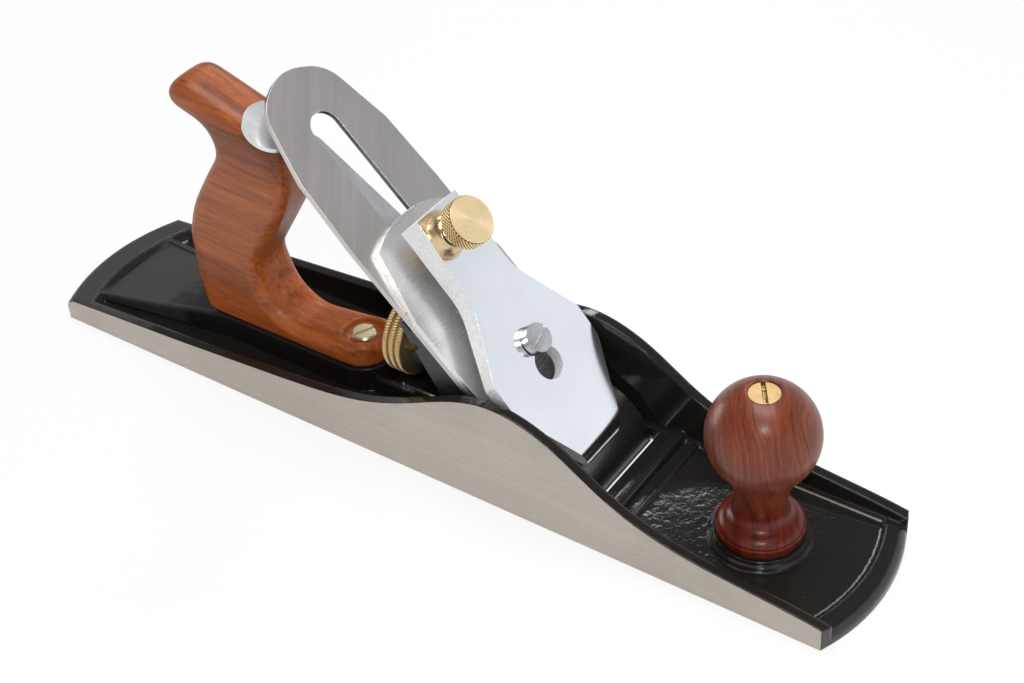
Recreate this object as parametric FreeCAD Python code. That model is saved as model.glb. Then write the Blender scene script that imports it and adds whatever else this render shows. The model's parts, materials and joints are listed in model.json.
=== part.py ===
import FreeCAD, Part
import math
import os
from FreeCAD import Vector

# A metal bench plane of jack size, about 355 mm long with a 50 mm wide iron.
# Frame: +X points to the toe, +Z up, the origin is the middle of the sole, and z = 0 is the sole.
# All sizes are millimetres. A name ending in share or shares holds plain ratios.

# Body casting
BODY_LENGTH = 355.0
END_RADIUS = 75.7
HUMP_HEIGHT = 46.4
WALL = 4.0
FLOOR = 5.0
TOE_LIP = 7.0
TOE_LIP_TOP = 6.4
TOE_LIP_ROUND = 4.6
HEEL_LIP = 12.5
HEEL_LIP_TOP = 8.9
HEEL_LIP_ROUND = 2.8
CAST_RADIUS = 2.5
CHEEK_GAP = 2.6

# The top edge of both side walls: share of half the length, share of the hump's height
WALL_TOP_SHARES = [
    (-1.0, 0.187),
    (-0.67, 0.281),
    (-0.29, 0.399),
    (-0.095, 0.515),
    (0.048, 0.733),
    (0.24, 1.0),
    (0.384, 0.843),
    (0.48, 0.601),
    (0.575, 0.425),
    (0.766, 0.284),
    (1.0, 0.164),
]

# Bed, mouth and cutter
BED_ANGLE = 45.0
MOUTH_X = 71.8
MOUTH_FRONT_X = 74.8
MOUTH_SIDE_GAP = 0.8
MOUTH_BED_GAP = 0.3
BLADE_WIDTH = 50.8
BLADE_THICKNESS = 2.2
BLADE_LENGTH = 186.3
BLADE_BEVEL = 5.0
BLADE_SLOT_WIDTH = 12.6
BLADE_SLOT_START = 50.0
BLADE_CROWN = 17.7
EDGE_LIFT = 0.3

# Chipbreaker
BREAKER_THICKNESS = 2.6
BREAKER_LENGTH = 122.6
BREAKER_END_RADIUS = 38.0
BREAKER_SHOULDER_AT = 91.0
BREAKER_END_INSET = 6.2
BREAKER_SETBACK = 1.3
HUMP_FOOT_AT = 26.0
HUMP_TOP_AT = 11.0
HUMP_TOP = 4.7
HUMP_SKIN = 2.0

# Lever cap
CAP_FRONT_AT = 13.2
CAP_FRONT_INSET = 15.7
CAP_FRONT_ROUND = 3.0
CAP_SHOULDER_FRONT_AT = 45.0
CAP_SHOULDER_FRONT_ROUND = 6.0
CAP_SHOULDER_BACK_AT = 57.8
CAP_SHOULDER_BACK_ROUND = 2.0
CAP_OVERHANG = 0.6
CAP_NECK_AT = 84.0
CAP_NECK_ROUND = 24.0
CAP_NECK_MARGIN = 3.0
CAP_BACK_AT = 117.8
CAP_BACK_MARGIN = 1.7
CAP_ROLL_AT = 15.9
CAP_ROLL_RADIUS = 9.4
CAP_RIM_HEIGHT = 9.0
CAP_BACK_TOP = 20.0
CAP_SHOULDER_TOP = 13.6
CAP_FRONT_TOP = 6.4
CAP_FRONT_BOTTOM = 5.3
CAP_SKIN = 4.0
KEYHOLE_AT = 50.5
KEYHOLE_RADIUS = 6.2

# Screws that hold the cutter and its cap
CAP_SCREW_AT = 60.0
CAP_SCREW_RADIUS = 3.1
CAP_SCREW_HEAD_RADIUS = 5.4
CAP_SCREW_HEAD_HEIGHT = 3.2
CAP_SCREW_TURN = 106.0
CAP_SCREW_DEPTH = 6.0
BREAKER_SCREW_AT = 72.5
BREAKER_SCREW_RADIUS = 4.0
BREAKER_SCREW_HEAD_RADIUS = 6.3
BREAKER_SCREW_HEAD_HEIGHT = 2.8
THUMB_AT = 107.0
THUMB_RADIUS = 4.0
THUMB_HEAD_RADIUS = 9.3
THUMB_HEAD_HEIGHT = 6.1
THUMB_HEAD_BOTTOM = 24.5
THUMB_COLLAR_RADIUS = 5.3
THUMB_FLARE = 2.6
THUMB_BOSS_RADIUS = 7.5
SLOT_WIDTH = 1.4
SLOT_DEPTH = 1.3

# Frog
FROG_INSET = 1.4
FROG_WEB = 4.0
FROG_BED = 5.0
FROG_BASE = 5.0
FROG_SHOULDER_AT = 94.0
FROG_TOP_AT = 112.0
FROG_TONGUE_WIDTH = 24.0
FROG_TONGUE_BACK = 8.5
FROG_SEAT = 14.0
FROG_NOSE_SEAT = 6.0
FROG_STEP_X = 50.0
FROG_BACK_X = 20.0
FROG_WAIST_X = 14.0
FROG_WAIST_Z = 37.5
FROG_SPINE_WIDTH = 12.0
FROG_SEAT_INSET = 2.0
FROG_TRAVEL = 1.5
FROG_SCREW_X = 40.0
FROG_SCREW_Y = 13.0
FROG_SCREW_RADIUS = 2.6
FROG_SCREW_HEAD_RADIUS = 4.6
FROG_SCREW_HEAD_HEIGHT = 3.2
FROG_WASHER_RADIUS = 6.2
FROG_WASHER_THICKNESS = 1.4
FROG_WELL_RADIUS = 7.6

# Frog adjusting screw and its plate
SHIFT_SCREW_Z = 9.4
SHIFT_SCREW_RADIUS = 2.6
SHIFT_SCREW_HEAD_RADIUS = 3.9
SHIFT_SCREW_HEAD_X = 8.5
SHIFT_SCREW_TIP_X = 34.0
SHIFT_GROOVE_X = 15.6
SHIFT_GROOVE_WIDTH = 2.4
SHIFT_GROOVE_RADIUS = 2.0
SHIFT_PLATE_THICKNESS = 1.8
SHIFT_PLATE_WIDTH = 12.0
SHIFT_PLATE_TOP = 26.0
SHIFT_PLATE_SCREW_Z = 20.5
SHIFT_PLATE_SCREW_RADIUS = 1.7
SHIFT_PLATE_SCREW_HEAD_RADIUS = 3.0
SHIFT_PLATE_SCREW_LENGTH = 6.0

# Depth adjuster: threaded stud, brass wheel and forked lever
STUD_RADIUS = 3.6
STUD_Z = 35.0
STUD_BACK_X = -20.5
STUD_SINK = 7.0
WHEEL_BACK_X = -17.4
WHEEL_WIDTH = 8.0
WHEEL_RADIUS = 15.8
WHEEL_GROOVE_DEPTH = 0.9
WHEEL_GROOVE_WIDTH = 0.8
WHEEL_EDGE = 0.6
WHEEL_CONE = 3.0
WHEEL_HUB_RADIUS = 8.5
WHEEL_COLLAR = 1.0
WHEEL_TRACK_WIDTH = 3.3
WHEEL_TRACK_RADIUS = 5.4
WHEEL_FLANGE = 2.2
YOKE_AT = 84.0
YOKE_BELOW = 9.0
YOKE_PIN_RADIUS = 1.5
YOKE_PIN_LENGTH = 17.4
YOKE_BARREL_RADIUS = 4.0
YOKE_BARREL_WIDTH = 9.2
YOKE_TONGUE_WIDTH = 7.6
YOKE_TONGUE_TIP = 1.7
YOKE_TONGUE_STEM = 2.4
YOKE_TIP_ABOVE = 0.9
YOKE_ARM_INNER = 9.1
YOKE_ARM_WIDTH = 3.2
YOKE_ARM_END_RADIUS = 2.1
YOKE_BRIDGE_RADIUS = 1.6
YOKE_BRIDGE_SHARE = 0.32
YOKE_NUB_RADIUS = 1.3
YOKE_NUB_INNER = 6.0
LUG_RADIUS = 3.9
LUG_WIDTH = 3.4

# Lateral lever
LATERAL_PIVOT_AT = 104.0
LATERAL_TILT = 9.6
LATERAL_THICKNESS = 2.0
LATERAL_GAP = 0.4
LATERAL_WIDTH = 12.6
LATERAL_FOOT = 8.0
LATERAL_BEND = 56.0
LATERAL_REACH = 71.8
LATERAL_PAD_RADIUS = 10.5
LATERAL_PAD_DROP = 5.0
LATERAL_RECESS = 2.8
LATERAL_PIN_RADIUS = 2.0
LATERAL_PIN_HEAD_RADIUS = 3.6
LATERAL_DISC_RADIUS = 3.8
LATERAL_DISC_HEIGHT = 2.0

# Front knob
KNOB_FROM_TOE = 46.8
KNOB_BOSS_RADIUS = 18.6
KNOB_BOSS_RIM_RADIUS = 17.6
KNOB_BOSS_RIM_TOP = 6.4
KNOB_BOSS_TOP_RADIUS = 16.4
KNOB_BOSS_TOP = 7.6
KNOB_BALL_Z = 51.1
KNOB_BALL_RADIUS = 19.5
KNOB_TOP_Z = 69.6
KNOB_NECK_Z = 20.0
KNOB_NECK_RADIUS = 8.8
KNOB_FOOT_Z = 10.4
KNOB_FOOT_RADIUS = 15.6
KNOB_NUT_TOP = 69.2

# Rear handle, in the plane y = 0, and its base seat on the casting
TOTE_THICKNESS = 22.5
TOTE_BASE_Z = 15.4
TOTE_BACK_X = -112.2
TOTE_LENGTH = 83.6
TOTE_HEIGHT = 107.0
TOTE_EDGE_SHARE = 0.0486
TOTE_END_SHARE = 0.07
SEAT_MARGIN = 1.4
HEEL_PANEL_AT = 15.5
HEEL_PANEL_HEIGHT = 8.0
HEEL_PANEL_INSET = 10.5
HEEL_RIDGE_WIDTH = 2.2
HEEL_RIDGE_HEIGHT = 0.9

# Corners of the handle's side outline, from the back of its base round over the horn to the toe.
# The handle leans back as the bed does. Each row is the share of its length, measured from a line
# through the back of its base parallel to the bed, the share of its height, and the corner's
# rounding as a share of its height.
TOTE_CORNER_SHARES = [
    (0.0, 0.0, 0.0),
    (0.271, 0.25, 0.395),
    (0.586, 0.444, 0.565),
    (1.3254, 0.8, 0.0935),
    (1.0622, 0.8935, 0.0523),
    (1.3553, 0.9869, 0.0579),
    (1.718, 0.845, 0.075),
    (1.407, 0.612, 0.384),
    (0.711, 0.275, 0.097),
    (0.505, 0.048, 0.16),
    (1.14, 0.11, 0.07),
    (1.0, 0.0, 0.0),
]

# Where the handle's long rod starts and where its nut ends, in the same shares
ROD_FOOT_SHARES = (0.079, 0.0)
ROD_TOP_SHARES = (1.641, 0.869)

# Rods, nuts and screws of the two handles
ROD_RADIUS = 3.0
ROD_SINK = 8.0
NUT_RADIUS = 5.5
NUT_HEAD = 4.0
NUT_BARREL_RADIUS = 4.3
NUT_BARREL = 14.0
TOE_SCREW_FROM_TOE = 10.8
TOE_SCREW_TOP = 24.4
TOE_SCREW_RADIUS = 2.5
TOE_SCREW_HEAD_RADIUS = 4.9
TOE_SCREW_HEAD = 2.6
TOE_SCREW_WELL_RADIUS = 7.8

# Details of the casting
RIB_X = 79.0
RIB_WIDTH = 6.0
RIB_TOP = 8.6
CREST_X = 88.5
CREST_WIDTH = 2.4
CREST_TOP = 6.2
SPINE_RIB_Y = 6.6
SPINE_RIB_WIDTH = 2.6
SPINE_RIB_TOP = 12.0
THREAD_FLOOR = 2.0

# Fits and overruns
RUN_GAP = 0.05
LOOSE_GAP = 0.4
OVERRUN = 3.0
SINK = 0.5

# Sizes and places that follow from the ones above
BODY_WIDTH = BLADE_WIDTH + 2 * (WALL + CHEEK_GAP)
HALF_LENGTH = BODY_LENGTH / 2
HALF_WIDTH = BODY_WIDTH / 2
INNER_HALF = HALF_WIDTH - WALL
FROG_WIDTH = BLADE_WIDTH - 2 * FROG_INSET
FROG_SEAT_WIDTH = FROG_WIDTH - 2 * FROG_SEAT_INSET
KNOB_X = HALF_LENGTH - KNOB_FROM_TOE
TOTE_TOE_X = TOTE_BACK_X + TOTE_LENGTH
TOE_SCREW_X = TOTE_TOE_X - TOE_SCREW_FROM_TOE
HEEL_PANEL_X = HEEL_PANEL_AT - HALF_LENGTH

AXIS_X = Vector(1, 0, 0)
AXIS_Y = Vector(0, 1, 0)
AXIS_Z = Vector(0, 0, 1)

# The bed frame: local x runs up the bed from the mouth, local z stands square on the blade's face
BED_RADIANS = math.radians(BED_ANGLE)
UP_BED = Vector(-math.cos(BED_RADIANS), 0, math.sin(BED_RADIANS))
OFF_BED = Vector(math.sin(BED_RADIANS), 0, math.cos(BED_RADIANS))
MOUTH = Vector(MOUTH_X, 0, 0)
BED_PLACEMENT = FreeCAD.Placement(MOUTH, FreeCAD.Rotation(UP_BED, AXIS_Y * -1, OFF_BED, "XZY"))


def bed_point(along, above):
    return MOUTH + UP_BED * along + OFF_BED * above


def on_bed(shape):
    placed = shape.copy()
    placed.Placement = BED_PLACEMENT.multiply(placed.Placement)
    return placed


def block(x0, x1, y0, y1, z0, z1):
    return Part.makeBox(x1 - x0, y1 - y0, z1 - z0, Vector(x0, y0, z0))


def rod(radius, start, direction, length):
    return Part.makeCylinder(radius, length, start, direction)


def face_from(edges):
    return Part.Face(Part.Wire(Part.__sortEdges__(edges)))


def polygon_edges(points):
    closed = points + [points[0]]
    return [Part.LineSegment(a, b).toShape() for a, b in zip(closed, closed[1:])]


def side_prism(points, half_width):
    # Extrudes a side outline of (x, z) points evenly to both sides of the plane y = 0
    corners = [Vector(x, -half_width, z) for x, z in points]
    return face_from(polygon_edges(corners)).extrude(Vector(0, 2 * half_width, 0))


def arc(first, middle, last):
    return Part.Arc(first, middle, last).toShape()


def line(first, last):
    return Part.LineSegment(first, last).toShape()


def rounded_loop(corners):
    # Closed outline of straight lines, with each corner rounded by its own radius
    stops = []
    for number, (corner, radius) in enumerate(corners):
        before = (corners[number - 1][0] - corner).normalize()
        after = (corners[(number + 1) % len(corners)][0] - corner).normalize()
        half_angle = before.getAngle(after) / 2
        reach = radius / math.tan(half_angle)
        bulge = radius / math.sin(half_angle) - radius
        middle = corner + (before + after).normalize() * bulge
        stops.append((corner + before * reach, middle, corner + after * reach))
    edges = []
    for number, (start, middle, end) in enumerate(stops):
        if corners[number][1] > 0:
            edges.append(arc(start, middle, end))
        edges.append(line(end, stops[(number + 1) % len(stops)][0]))
    return edges


def on_circle(centre, radius, degrees):
    # A point on a circle in the x-z plane
    angle = math.radians(degrees)
    return centre + Vector(radius * math.cos(angle), 0, radius * math.sin(angle))


def smooth(points):
    curve = Part.BSplineCurve()
    curve.interpolate(points)
    return curve.toShape()


def oblong(x0, x1, half_width, z0, z1):
    # A slot with round ends, whose end centres are at x0 and x1
    edges = [
        line(Vector(x0, -half_width, z0), Vector(x1, -half_width, z0)),
        arc(Vector(x1, -half_width, z0), Vector(x1 + half_width, 0, z0), Vector(x1, half_width, z0)),
        line(Vector(x1, half_width, z0), Vector(x0, half_width, z0)),
        arc(Vector(x0, half_width, z0), Vector(x0 - half_width, 0, z0), Vector(x0, -half_width, z0)),
    ]
    return face_from(edges).extrude(Vector(0, 0, z1 - z0))


def link(a, radius_a, b, radius_b, y0, y1):
    # A bar in the x-z plane around two circles, as wide as y0 to y1
    across = Vector(b.x - a.x, 0, b.z - a.z)
    reach = across.Length
    along = across * (1 / reach)
    side = Vector(-along.z, 0, along.x)
    lean = (radius_a - radius_b) / reach
    upright = math.sqrt(1 - lean * lean)
    corners = []
    for centre, radius, sign in ((a, radius_a, 1), (b, radius_b, 1), (b, radius_b, -1), (a, radius_a, -1)):
        touch = (along * lean + side * (sign * upright)) * radius
        corners.append(Vector(centre.x + touch.x, y0, centre.z + touch.z))
    web = face_from(polygon_edges(corners)).extrude(Vector(0, y1 - y0, 0))
    first = rod(radius_a, Vector(a.x, y0, a.z), AXIS_Y, y1 - y0)
    second = rod(radius_b, Vector(b.x, y0, b.z), AXIS_Y, y1 - y0)
    return web.fuse([first, second])


def turned(profile):
    # Revolves (radius, height) points round the local z axis
    points = [Vector(radius, 0, height) for radius, height in profile]
    return face_from(polygon_edges(points)).revolve(Vector(0, 0, 0), AXIS_Z, 360)


def wedge(ends):
    # Straight loft between two upright rectangles, each given as x, y0, y1, z0, z1
    wires = []
    for x, y0, y1, z0, z1 in ends:
        corners = [Vector(x, y0, z0), Vector(x, y1, z0), Vector(x, y1, z1), Vector(x, y0, z1)]
        wires.append(Part.makePolygon(corners + [corners[0]]))
    return Part.makeLoft(wires, True, True)


def screw_slot(radius, top):
    return block(-radius - OVERRUN, radius + OVERRUN, -SLOT_WIDTH / 2, SLOT_WIDTH / 2, top - SLOT_DEPTH,
                 top + OVERRUN)


def moved(shape, place):
    copy = shape.copy()
    copy.translate(place)
    return copy


def mirrored(shape):
    return shape.mirror(Vector(0, 0, 0), AXIS_Y)


def end_arc(apex_x, radius, half_width, z):
    # One rounded end of the plan outline; a negative apex is the heel
    facing = 1 if apex_x > 0 else -1
    corner_x = apex_x - facing * (radius - math.sqrt(radius ** 2 - half_width ** 2))
    return corner_x, arc(Vector(corner_x, -half_width, z), Vector(apex_x, 0, z),
                         Vector(corner_x, half_width, z))


def plan_face(toe_inset, heel_inset, side_inset, z):
    half_width = HALF_WIDTH - side_inset
    toe_x, toe = end_arc(HALF_LENGTH - toe_inset, END_RADIUS - toe_inset, half_width, z)
    heel_x, heel = end_arc(heel_inset - HALF_LENGTH, END_RADIUS - heel_inset, half_width, z)
    near = line(Vector(heel_x, -half_width, z), Vector(toe_x, -half_width, z))
    far = line(Vector(heel_x, half_width, z), Vector(toe_x, half_width, z))
    return face_from([toe, near, heel, far])


def end_roll(apex_x, top, radius):
    # What is cut away to roll a rounded end over at its top; a negative apex is the heel
    facing = 1 if apex_x > 0 else -1
    inner, outer = apex_x - facing * radius, apex_x + facing * OVERRUN
    low, high = top - radius, top + HUMP_HEIGHT
    turn = radius * (1 - math.sqrt(0.5))
    corner = face_from([
        arc(Vector(inner, 0, top), Vector(apex_x - facing * turn, 0, top - turn), Vector(apex_x, 0, low)),
        line(Vector(apex_x, 0, low), Vector(outer, 0, low)),
        line(Vector(outer, 0, low), Vector(outer, 0, high)),
        line(Vector(outer, 0, high), Vector(inner, 0, high)),
        line(Vector(inner, 0, high), Vector(inner, 0, top)),
    ])
    centre = Vector(apex_x - facing * END_RADIUS, 0, 0)
    corner.rotate(centre, AXIS_Z, -90)
    return corner.revolve(centre, AXIS_Z, 180)


def wall_envelope():
    # Everything under the curved top edge of the side walls
    top = [Vector(x * HALF_LENGTH, -HALF_WIDTH, z * HUMP_HEIGHT) for x, z in WALL_TOP_SHARES]
    low_heel = Vector(-HALF_LENGTH, -HALF_WIDTH, 0)
    low_toe = Vector(HALF_LENGTH, -HALF_WIDTH, 0)
    edges = [smooth(top), line(top[-1], low_toe), line(low_toe, low_heel), line(low_heel, top[0])]
    return face_from(edges).extrude(Vector(0, BODY_WIDTH, 0))


def bed_x(z, above):
    # Where a plane parallel to the bed, this far above the blade's face, crosses the height z
    return MOUTH_X + (above - z * math.cos(BED_RADIANS)) / math.sin(BED_RADIANS)


def handle_point(x_share, z_share):
    # A point in the handle's leaning outline
    height = z_share * TOTE_HEIGHT
    lean = height / math.tan(BED_RADIANS)
    return Vector(TOTE_BACK_X + x_share * TOTE_LENGTH - lean, 0, TOTE_BASE_Z + height)


ROD_FOOT = handle_point(*ROD_FOOT_SHARES)
ROD_TOP = handle_point(*ROD_TOP_SHARES)
ROD_UP = (ROD_TOP - ROD_FOOT).normalize()


def make_body():
    outer = plan_face(0, 0, 0, 0).extrude(Vector(0, 0, HUMP_HEIGHT + OVERRUN)).common(wall_envelope())
    cavity = plan_face(TOE_LIP, HEEL_LIP, WALL, FLOOR).extrude(Vector(0, 0, HUMP_HEIGHT + OVERRUN))
    low_edges = [e for e in cavity.Edges if e.BoundBox.ZMax < FLOOR + CAST_RADIUS]
    cavity = cavity.makeFillet(CAST_RADIUS, low_edges)
    over_lip = block(HALF_LENGTH - END_RADIUS, HALF_LENGTH + OVERRUN, -INNER_HALF, INNER_HALF, TOE_LIP_TOP,
                     HUMP_HEIGHT)
    toe_roll = end_roll(HALF_LENGTH, TOE_LIP_TOP, TOE_LIP_ROUND)
    between_walls = block(0, BODY_LENGTH, -INNER_HALF, INNER_HALF, 0, HUMP_HEIGHT)
    heel_roll = end_roll(-HALF_LENGTH, HEEL_LIP_TOP, HEEL_LIP_ROUND)
    shell = outer.cut([cavity, over_lip, toe_roll.common(between_walls), heel_roll])

    # Wedge-shaped panel that climbs from the heel to the rear handle, with a low ridge along both edges
    panel_low = FLOOR - SINK
    seat_half = TOTE_THICKNESS / 2 + SEAT_MARGIN
    panel_half = HALF_WIDTH - HEEL_PANEL_INSET
    panel_end = TOTE_BACK_X + seat_half
    panel = wedge([
        (HEEL_PANEL_X, -panel_half, panel_half, panel_low, HEEL_PANEL_HEIGHT),
        (panel_end, -seat_half, seat_half, panel_low, TOTE_BASE_Z),
    ])
    ridge = wedge([
        (HEEL_PANEL_X, panel_half - HEEL_RIDGE_WIDTH, panel_half, panel_low,
         HEEL_PANEL_HEIGHT + HEEL_RIDGE_HEIGHT),
        (panel_end, seat_half - HEEL_RIDGE_WIDTH, seat_half, panel_low, TOTE_BASE_Z),
    ])

    # Raised seat under the rear handle
    seat = oblong(panel_end - SEAT_MARGIN, TOTE_TOE_X - seat_half + SEAT_MARGIN, seat_half, panel_low,
                  TOTE_BASE_Z)
    features = [panel, ridge, mirrored(ridge), seat]

    # Frog seat with its lower step, and the two ribs that run back from it
    features.append(block(FROG_BACK_X, FROG_STEP_X, -FROG_SEAT_WIDTH / 2, FROG_SEAT_WIDTH / 2, FLOOR - SINK,
                          FROG_SEAT))
    features.append(block(FROG_STEP_X - SINK, bed_x(FROG_NOSE_SEAT, -BLADE_THICKNESS), -INNER_HALF - SINK,
                          INNER_HALF + SINK, FLOOR - SINK, FROG_NOSE_SEAT))
    spine = block(TOTE_TOE_X - SINK, FROG_BACK_X + SINK, SPINE_RIB_Y, SPINE_RIB_Y + SPINE_RIB_WIDTH,
                  FLOOR - SINK, SPINE_RIB_TOP)
    features += [spine, mirrored(spine)]

    # Knob boss, cross rib and low crest in front of the mouth
    foot = Vector(KNOB_X, 0, FLOOR - SINK)
    features.append(Part.makeCone(KNOB_BOSS_RADIUS, KNOB_BOSS_RIM_RADIUS, KNOB_BOSS_RIM_TOP - foot.z, foot))
    features.append(rod(KNOB_BOSS_TOP_RADIUS, foot, AXIS_Z, KNOB_BOSS_TOP - foot.z))
    for x, width, top in ((RIB_X, RIB_WIDTH, RIB_TOP), (CREST_X, CREST_WIDTH, CREST_TOP)):
        bar = block(x, x + width, -INNER_HALF - SINK, INNER_HALF + SINK, FLOOR - SINK, top)
        crown = [e for e in bar.Edges if e.BoundBox.ZMin > top - SINK and e.BoundBox.YLength > width]
        features.append(bar.makeFillet(width / 3, crown))
    casting = shell.fuse(features)

    # Mouth through the sole, its back face parallel to the bed
    mouth_half = BLADE_WIDTH / 2 + MOUTH_SIDE_GAP
    under = -BLADE_THICKNESS - MOUTH_BED_GAP
    low, high = -OVERRUN, FROG_NOSE_SEAT + OVERRUN
    mouth = side_prism([(bed_x(low, under), low), (MOUTH_FRONT_X, low), (MOUTH_FRONT_X, high),
                        (bed_x(high, under), high)],
                       mouth_half)
    casting = casting.cut(mouth)

    # Threaded holes, kept off the sole
    holes = [
        rod(ROD_RADIUS + RUN_GAP, Vector(KNOB_X, 0, THREAD_FLOOR), AXIS_Z, KNOB_BOSS_TOP),
        rod(TOE_SCREW_RADIUS + RUN_GAP, Vector(TOE_SCREW_X, 0, THREAD_FLOOR), AXIS_Z, TOTE_BASE_Z),
        rod(ROD_RADIUS + RUN_GAP, ROD_FOOT - ROD_UP * (ROD_SINK + SINK), ROD_UP, ROD_SINK + OVERRUN),
        rod(SHIFT_SCREW_RADIUS + RUN_GAP, Vector(FROG_BACK_X - OVERRUN, 0, SHIFT_SCREW_Z), AXIS_X,
            SHIFT_SCREW_TIP_X + FROG_TRAVEL + OVERRUN - FROG_BACK_X + OVERRUN),
    ]
    for side in (-1, 1):
        foot = Vector(FROG_SCREW_X, side * FROG_SCREW_Y, THREAD_FLOOR)
        holes.append(rod(FROG_SCREW_RADIUS + RUN_GAP, foot, AXIS_Z, FROG_SEAT))
    return casting.cut(holes)


def frog_outline():
    under = -BLADE_THICKNESS
    shoulder = bed_point(FROG_SHOULDER_AT, under)
    back = bed_point(FROG_SHOULDER_AT, -BLADE_THICKNESS - FROG_BED)
    return [
        (bed_x(FROG_NOSE_SEAT, under), FROG_NOSE_SEAT),
        (shoulder.x, shoulder.z),
        (back.x, back.z),
        (FROG_WAIST_X, FROG_WAIST_Z),
        (FROG_BACK_X, FROG_SEAT),
        (FROG_STEP_X, FROG_SEAT),
        (FROG_STEP_X, FROG_NOSE_SEAT),
    ]


def make_frog():
    half = FROG_WIDTH / 2
    frog = side_prism(frog_outline(), half)

    # Hollows behind the bed plate, between the side webs and the spine
    under = -BLADE_THICKNESS - FROG_BED
    roof_high = bed_point(FROG_SHOULDER_AT - FROG_BED, under)
    roof_low_z = FROG_SEAT + FROG_BASE
    hollow = [
        (bed_x(roof_low_z, under), roof_low_z),
        (roof_high.x, roof_high.z),
        (FROG_WAIST_X - WHEEL_RADIUS * 2, roof_high.z),
        (FROG_WAIST_X - WHEEL_RADIUS * 2, roof_low_z),
    ]
    cell = side_prism(hollow, half - FROG_WEB)
    spine = side_prism([
        (bed_x(roof_low_z, under) + SINK, roof_low_z - SINK),
        (bed_x(FROG_WAIST_Z + STUD_RADIUS, under) + SINK, FROG_WAIST_Z + STUD_RADIUS),
        (FROG_WAIST_X, FROG_WAIST_Z + STUD_RADIUS),
        (FROG_BACK_X, roof_low_z - SINK),
    ], FROG_SPINE_WIDTH / 2)
    boss = rod(STUD_RADIUS * 2, Vector(FROG_WAIST_X - SINK, 0, STUD_Z), AXIS_X, STUD_SINK)
    frog = frog.cut(cell).fuse([spine, boss])

    # Narrow tongue at the top, which carries the lateral lever
    tongue = oblong(FROG_SHOULDER_AT - FROG_TONGUE_BACK, FROG_TOP_AT - FROG_TONGUE_WIDTH / 2,
                    FROG_TONGUE_WIDTH / 2,
                    -BLADE_THICKNESS - FROG_TONGUE_BACK, -BLADE_THICKNESS)
    frog = frog.fuse(on_bed(tongue))

    # Shallow recess for the lateral lever, open at the top end and to both sides
    recess_at = LATERAL_PIVOT_AT - LATERAL_FOOT - LATERAL_WIDTH / 2 - LOOSE_GAP
    recess = block(recess_at, FROG_TOP_AT + OVERRUN, -half - OVERRUN, half + OVERRUN,
                   -BLADE_THICKNESS - LATERAL_RECESS, OVERRUN)
    frog = frog.cut(on_bed(recess))

    # Lugs for the yoke pin, and the opening for the yoke's tongue and the chipbreaker screw's head
    pin = bed_point(YOKE_AT, -YOKE_BELOW)
    roof = bed_point(YOKE_AT, -BLADE_THICKNESS - LUG_RADIUS)
    lug_inner = YOKE_BARREL_WIDTH / 2 + LOOSE_GAP
    lug = link(pin, LUG_RADIUS, roof, LUG_RADIUS, lug_inner, lug_inner + LUG_WIDTH)
    frog = frog.fuse([lug, mirrored(lug)])
    open_back = YOKE_AT + YOKE_BARREL_RADIUS + LOOSE_GAP
    window = block(YOKE_AT - YOKE_BARREL_RADIUS - 2 * LOOSE_GAP, open_back, -lug_inner, lug_inner,
                   -YOKE_BELOW - YOKE_BARREL_RADIUS - OVERRUN, OVERRUN)
    screw_travel = BREAKER_SCREW_HEAD_RADIUS + LOOSE_GAP
    well = oblong(BREAKER_SCREW_AT - SLOT_DEPTH, YOKE_AT, screw_travel,
                  -BLADE_THICKNESS - BREAKER_SCREW_HEAD_HEIGHT - LOOSE_GAP, OVERRUN)
    frog = frog.cut([on_bed(window), on_bed(well)])

    # Bores for the pin, the stud, the cap screw and the lateral pivot
    bores = [
        rod(YOKE_PIN_RADIUS + RUN_GAP, Vector(pin.x, -half, pin.z), AXIS_Y, FROG_WIDTH),
        rod(STUD_RADIUS + RUN_GAP, Vector(FROG_WAIST_X - OVERRUN, 0, STUD_Z), AXIS_X, STUD_SINK + OVERRUN),
        on_bed(rod(CAP_SCREW_RADIUS + RUN_GAP, Vector(CAP_SCREW_AT, 0,
                                                      -BLADE_THICKNESS - CAP_SCREW_DEPTH - SINK),
                   AXIS_Z, CAP_SCREW_DEPTH + OVERRUN)),
        on_bed(rod(LATERAL_PIN_RADIUS + RUN_GAP, Vector(LATERAL_PIVOT_AT, 0, -FROG_TONGUE_BACK - OVERRUN),
                   AXIS_Z,
                   FROG_TONGUE_BACK + OVERRUN * 2)),
        rod(SHIFT_PLATE_SCREW_RADIUS + RUN_GAP, Vector(SHIFT_GROOVE_X, 0, SHIFT_PLATE_SCREW_Z), AXIS_X,
            SHIFT_PLATE_SCREW_LENGTH + OVERRUN),
    ]

    # Flat behind the spine for the adjusting plate, clear of the casting's seat
    plate_face = SHIFT_GROOVE_X + (SHIFT_GROOVE_WIDTH + SHIFT_PLATE_THICKNESS) / 2
    bores.append(block(plate_face - WHEEL_RADIUS, plate_face, -half, half, 0, SHIFT_PLATE_TOP + SINK))
    frog = frog.fuse(block(plate_face, FROG_BACK_X + SINK, -SHIFT_PLATE_WIDTH / 2, SHIFT_PLATE_WIDTH / 2,
                           FROG_SEAT, SHIFT_PLATE_TOP))

    # Slots for the two frog screws, with wells up through the bed for their heads
    for side in (-1, 1):
        y = side * FROG_SCREW_Y
        reach = FROG_TRAVEL + LOOSE_GAP
        slot = oblong(FROG_SCREW_X - reach, FROG_SCREW_X + LOOSE_GAP, FROG_SCREW_RADIUS + LOOSE_GAP,
                      FROG_SEAT - OVERRUN, roof_low_z + OVERRUN)
        head_well = oblong(FROG_SCREW_X - reach, FROG_SCREW_X + LOOSE_GAP, FROG_WELL_RADIUS, roof_low_z,
                           HUMP_HEIGHT)
        bores += [moved(slot, Vector(0, y, 0)), moved(head_well, Vector(0, y, 0))]
    return frog.cut(bores)


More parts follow.
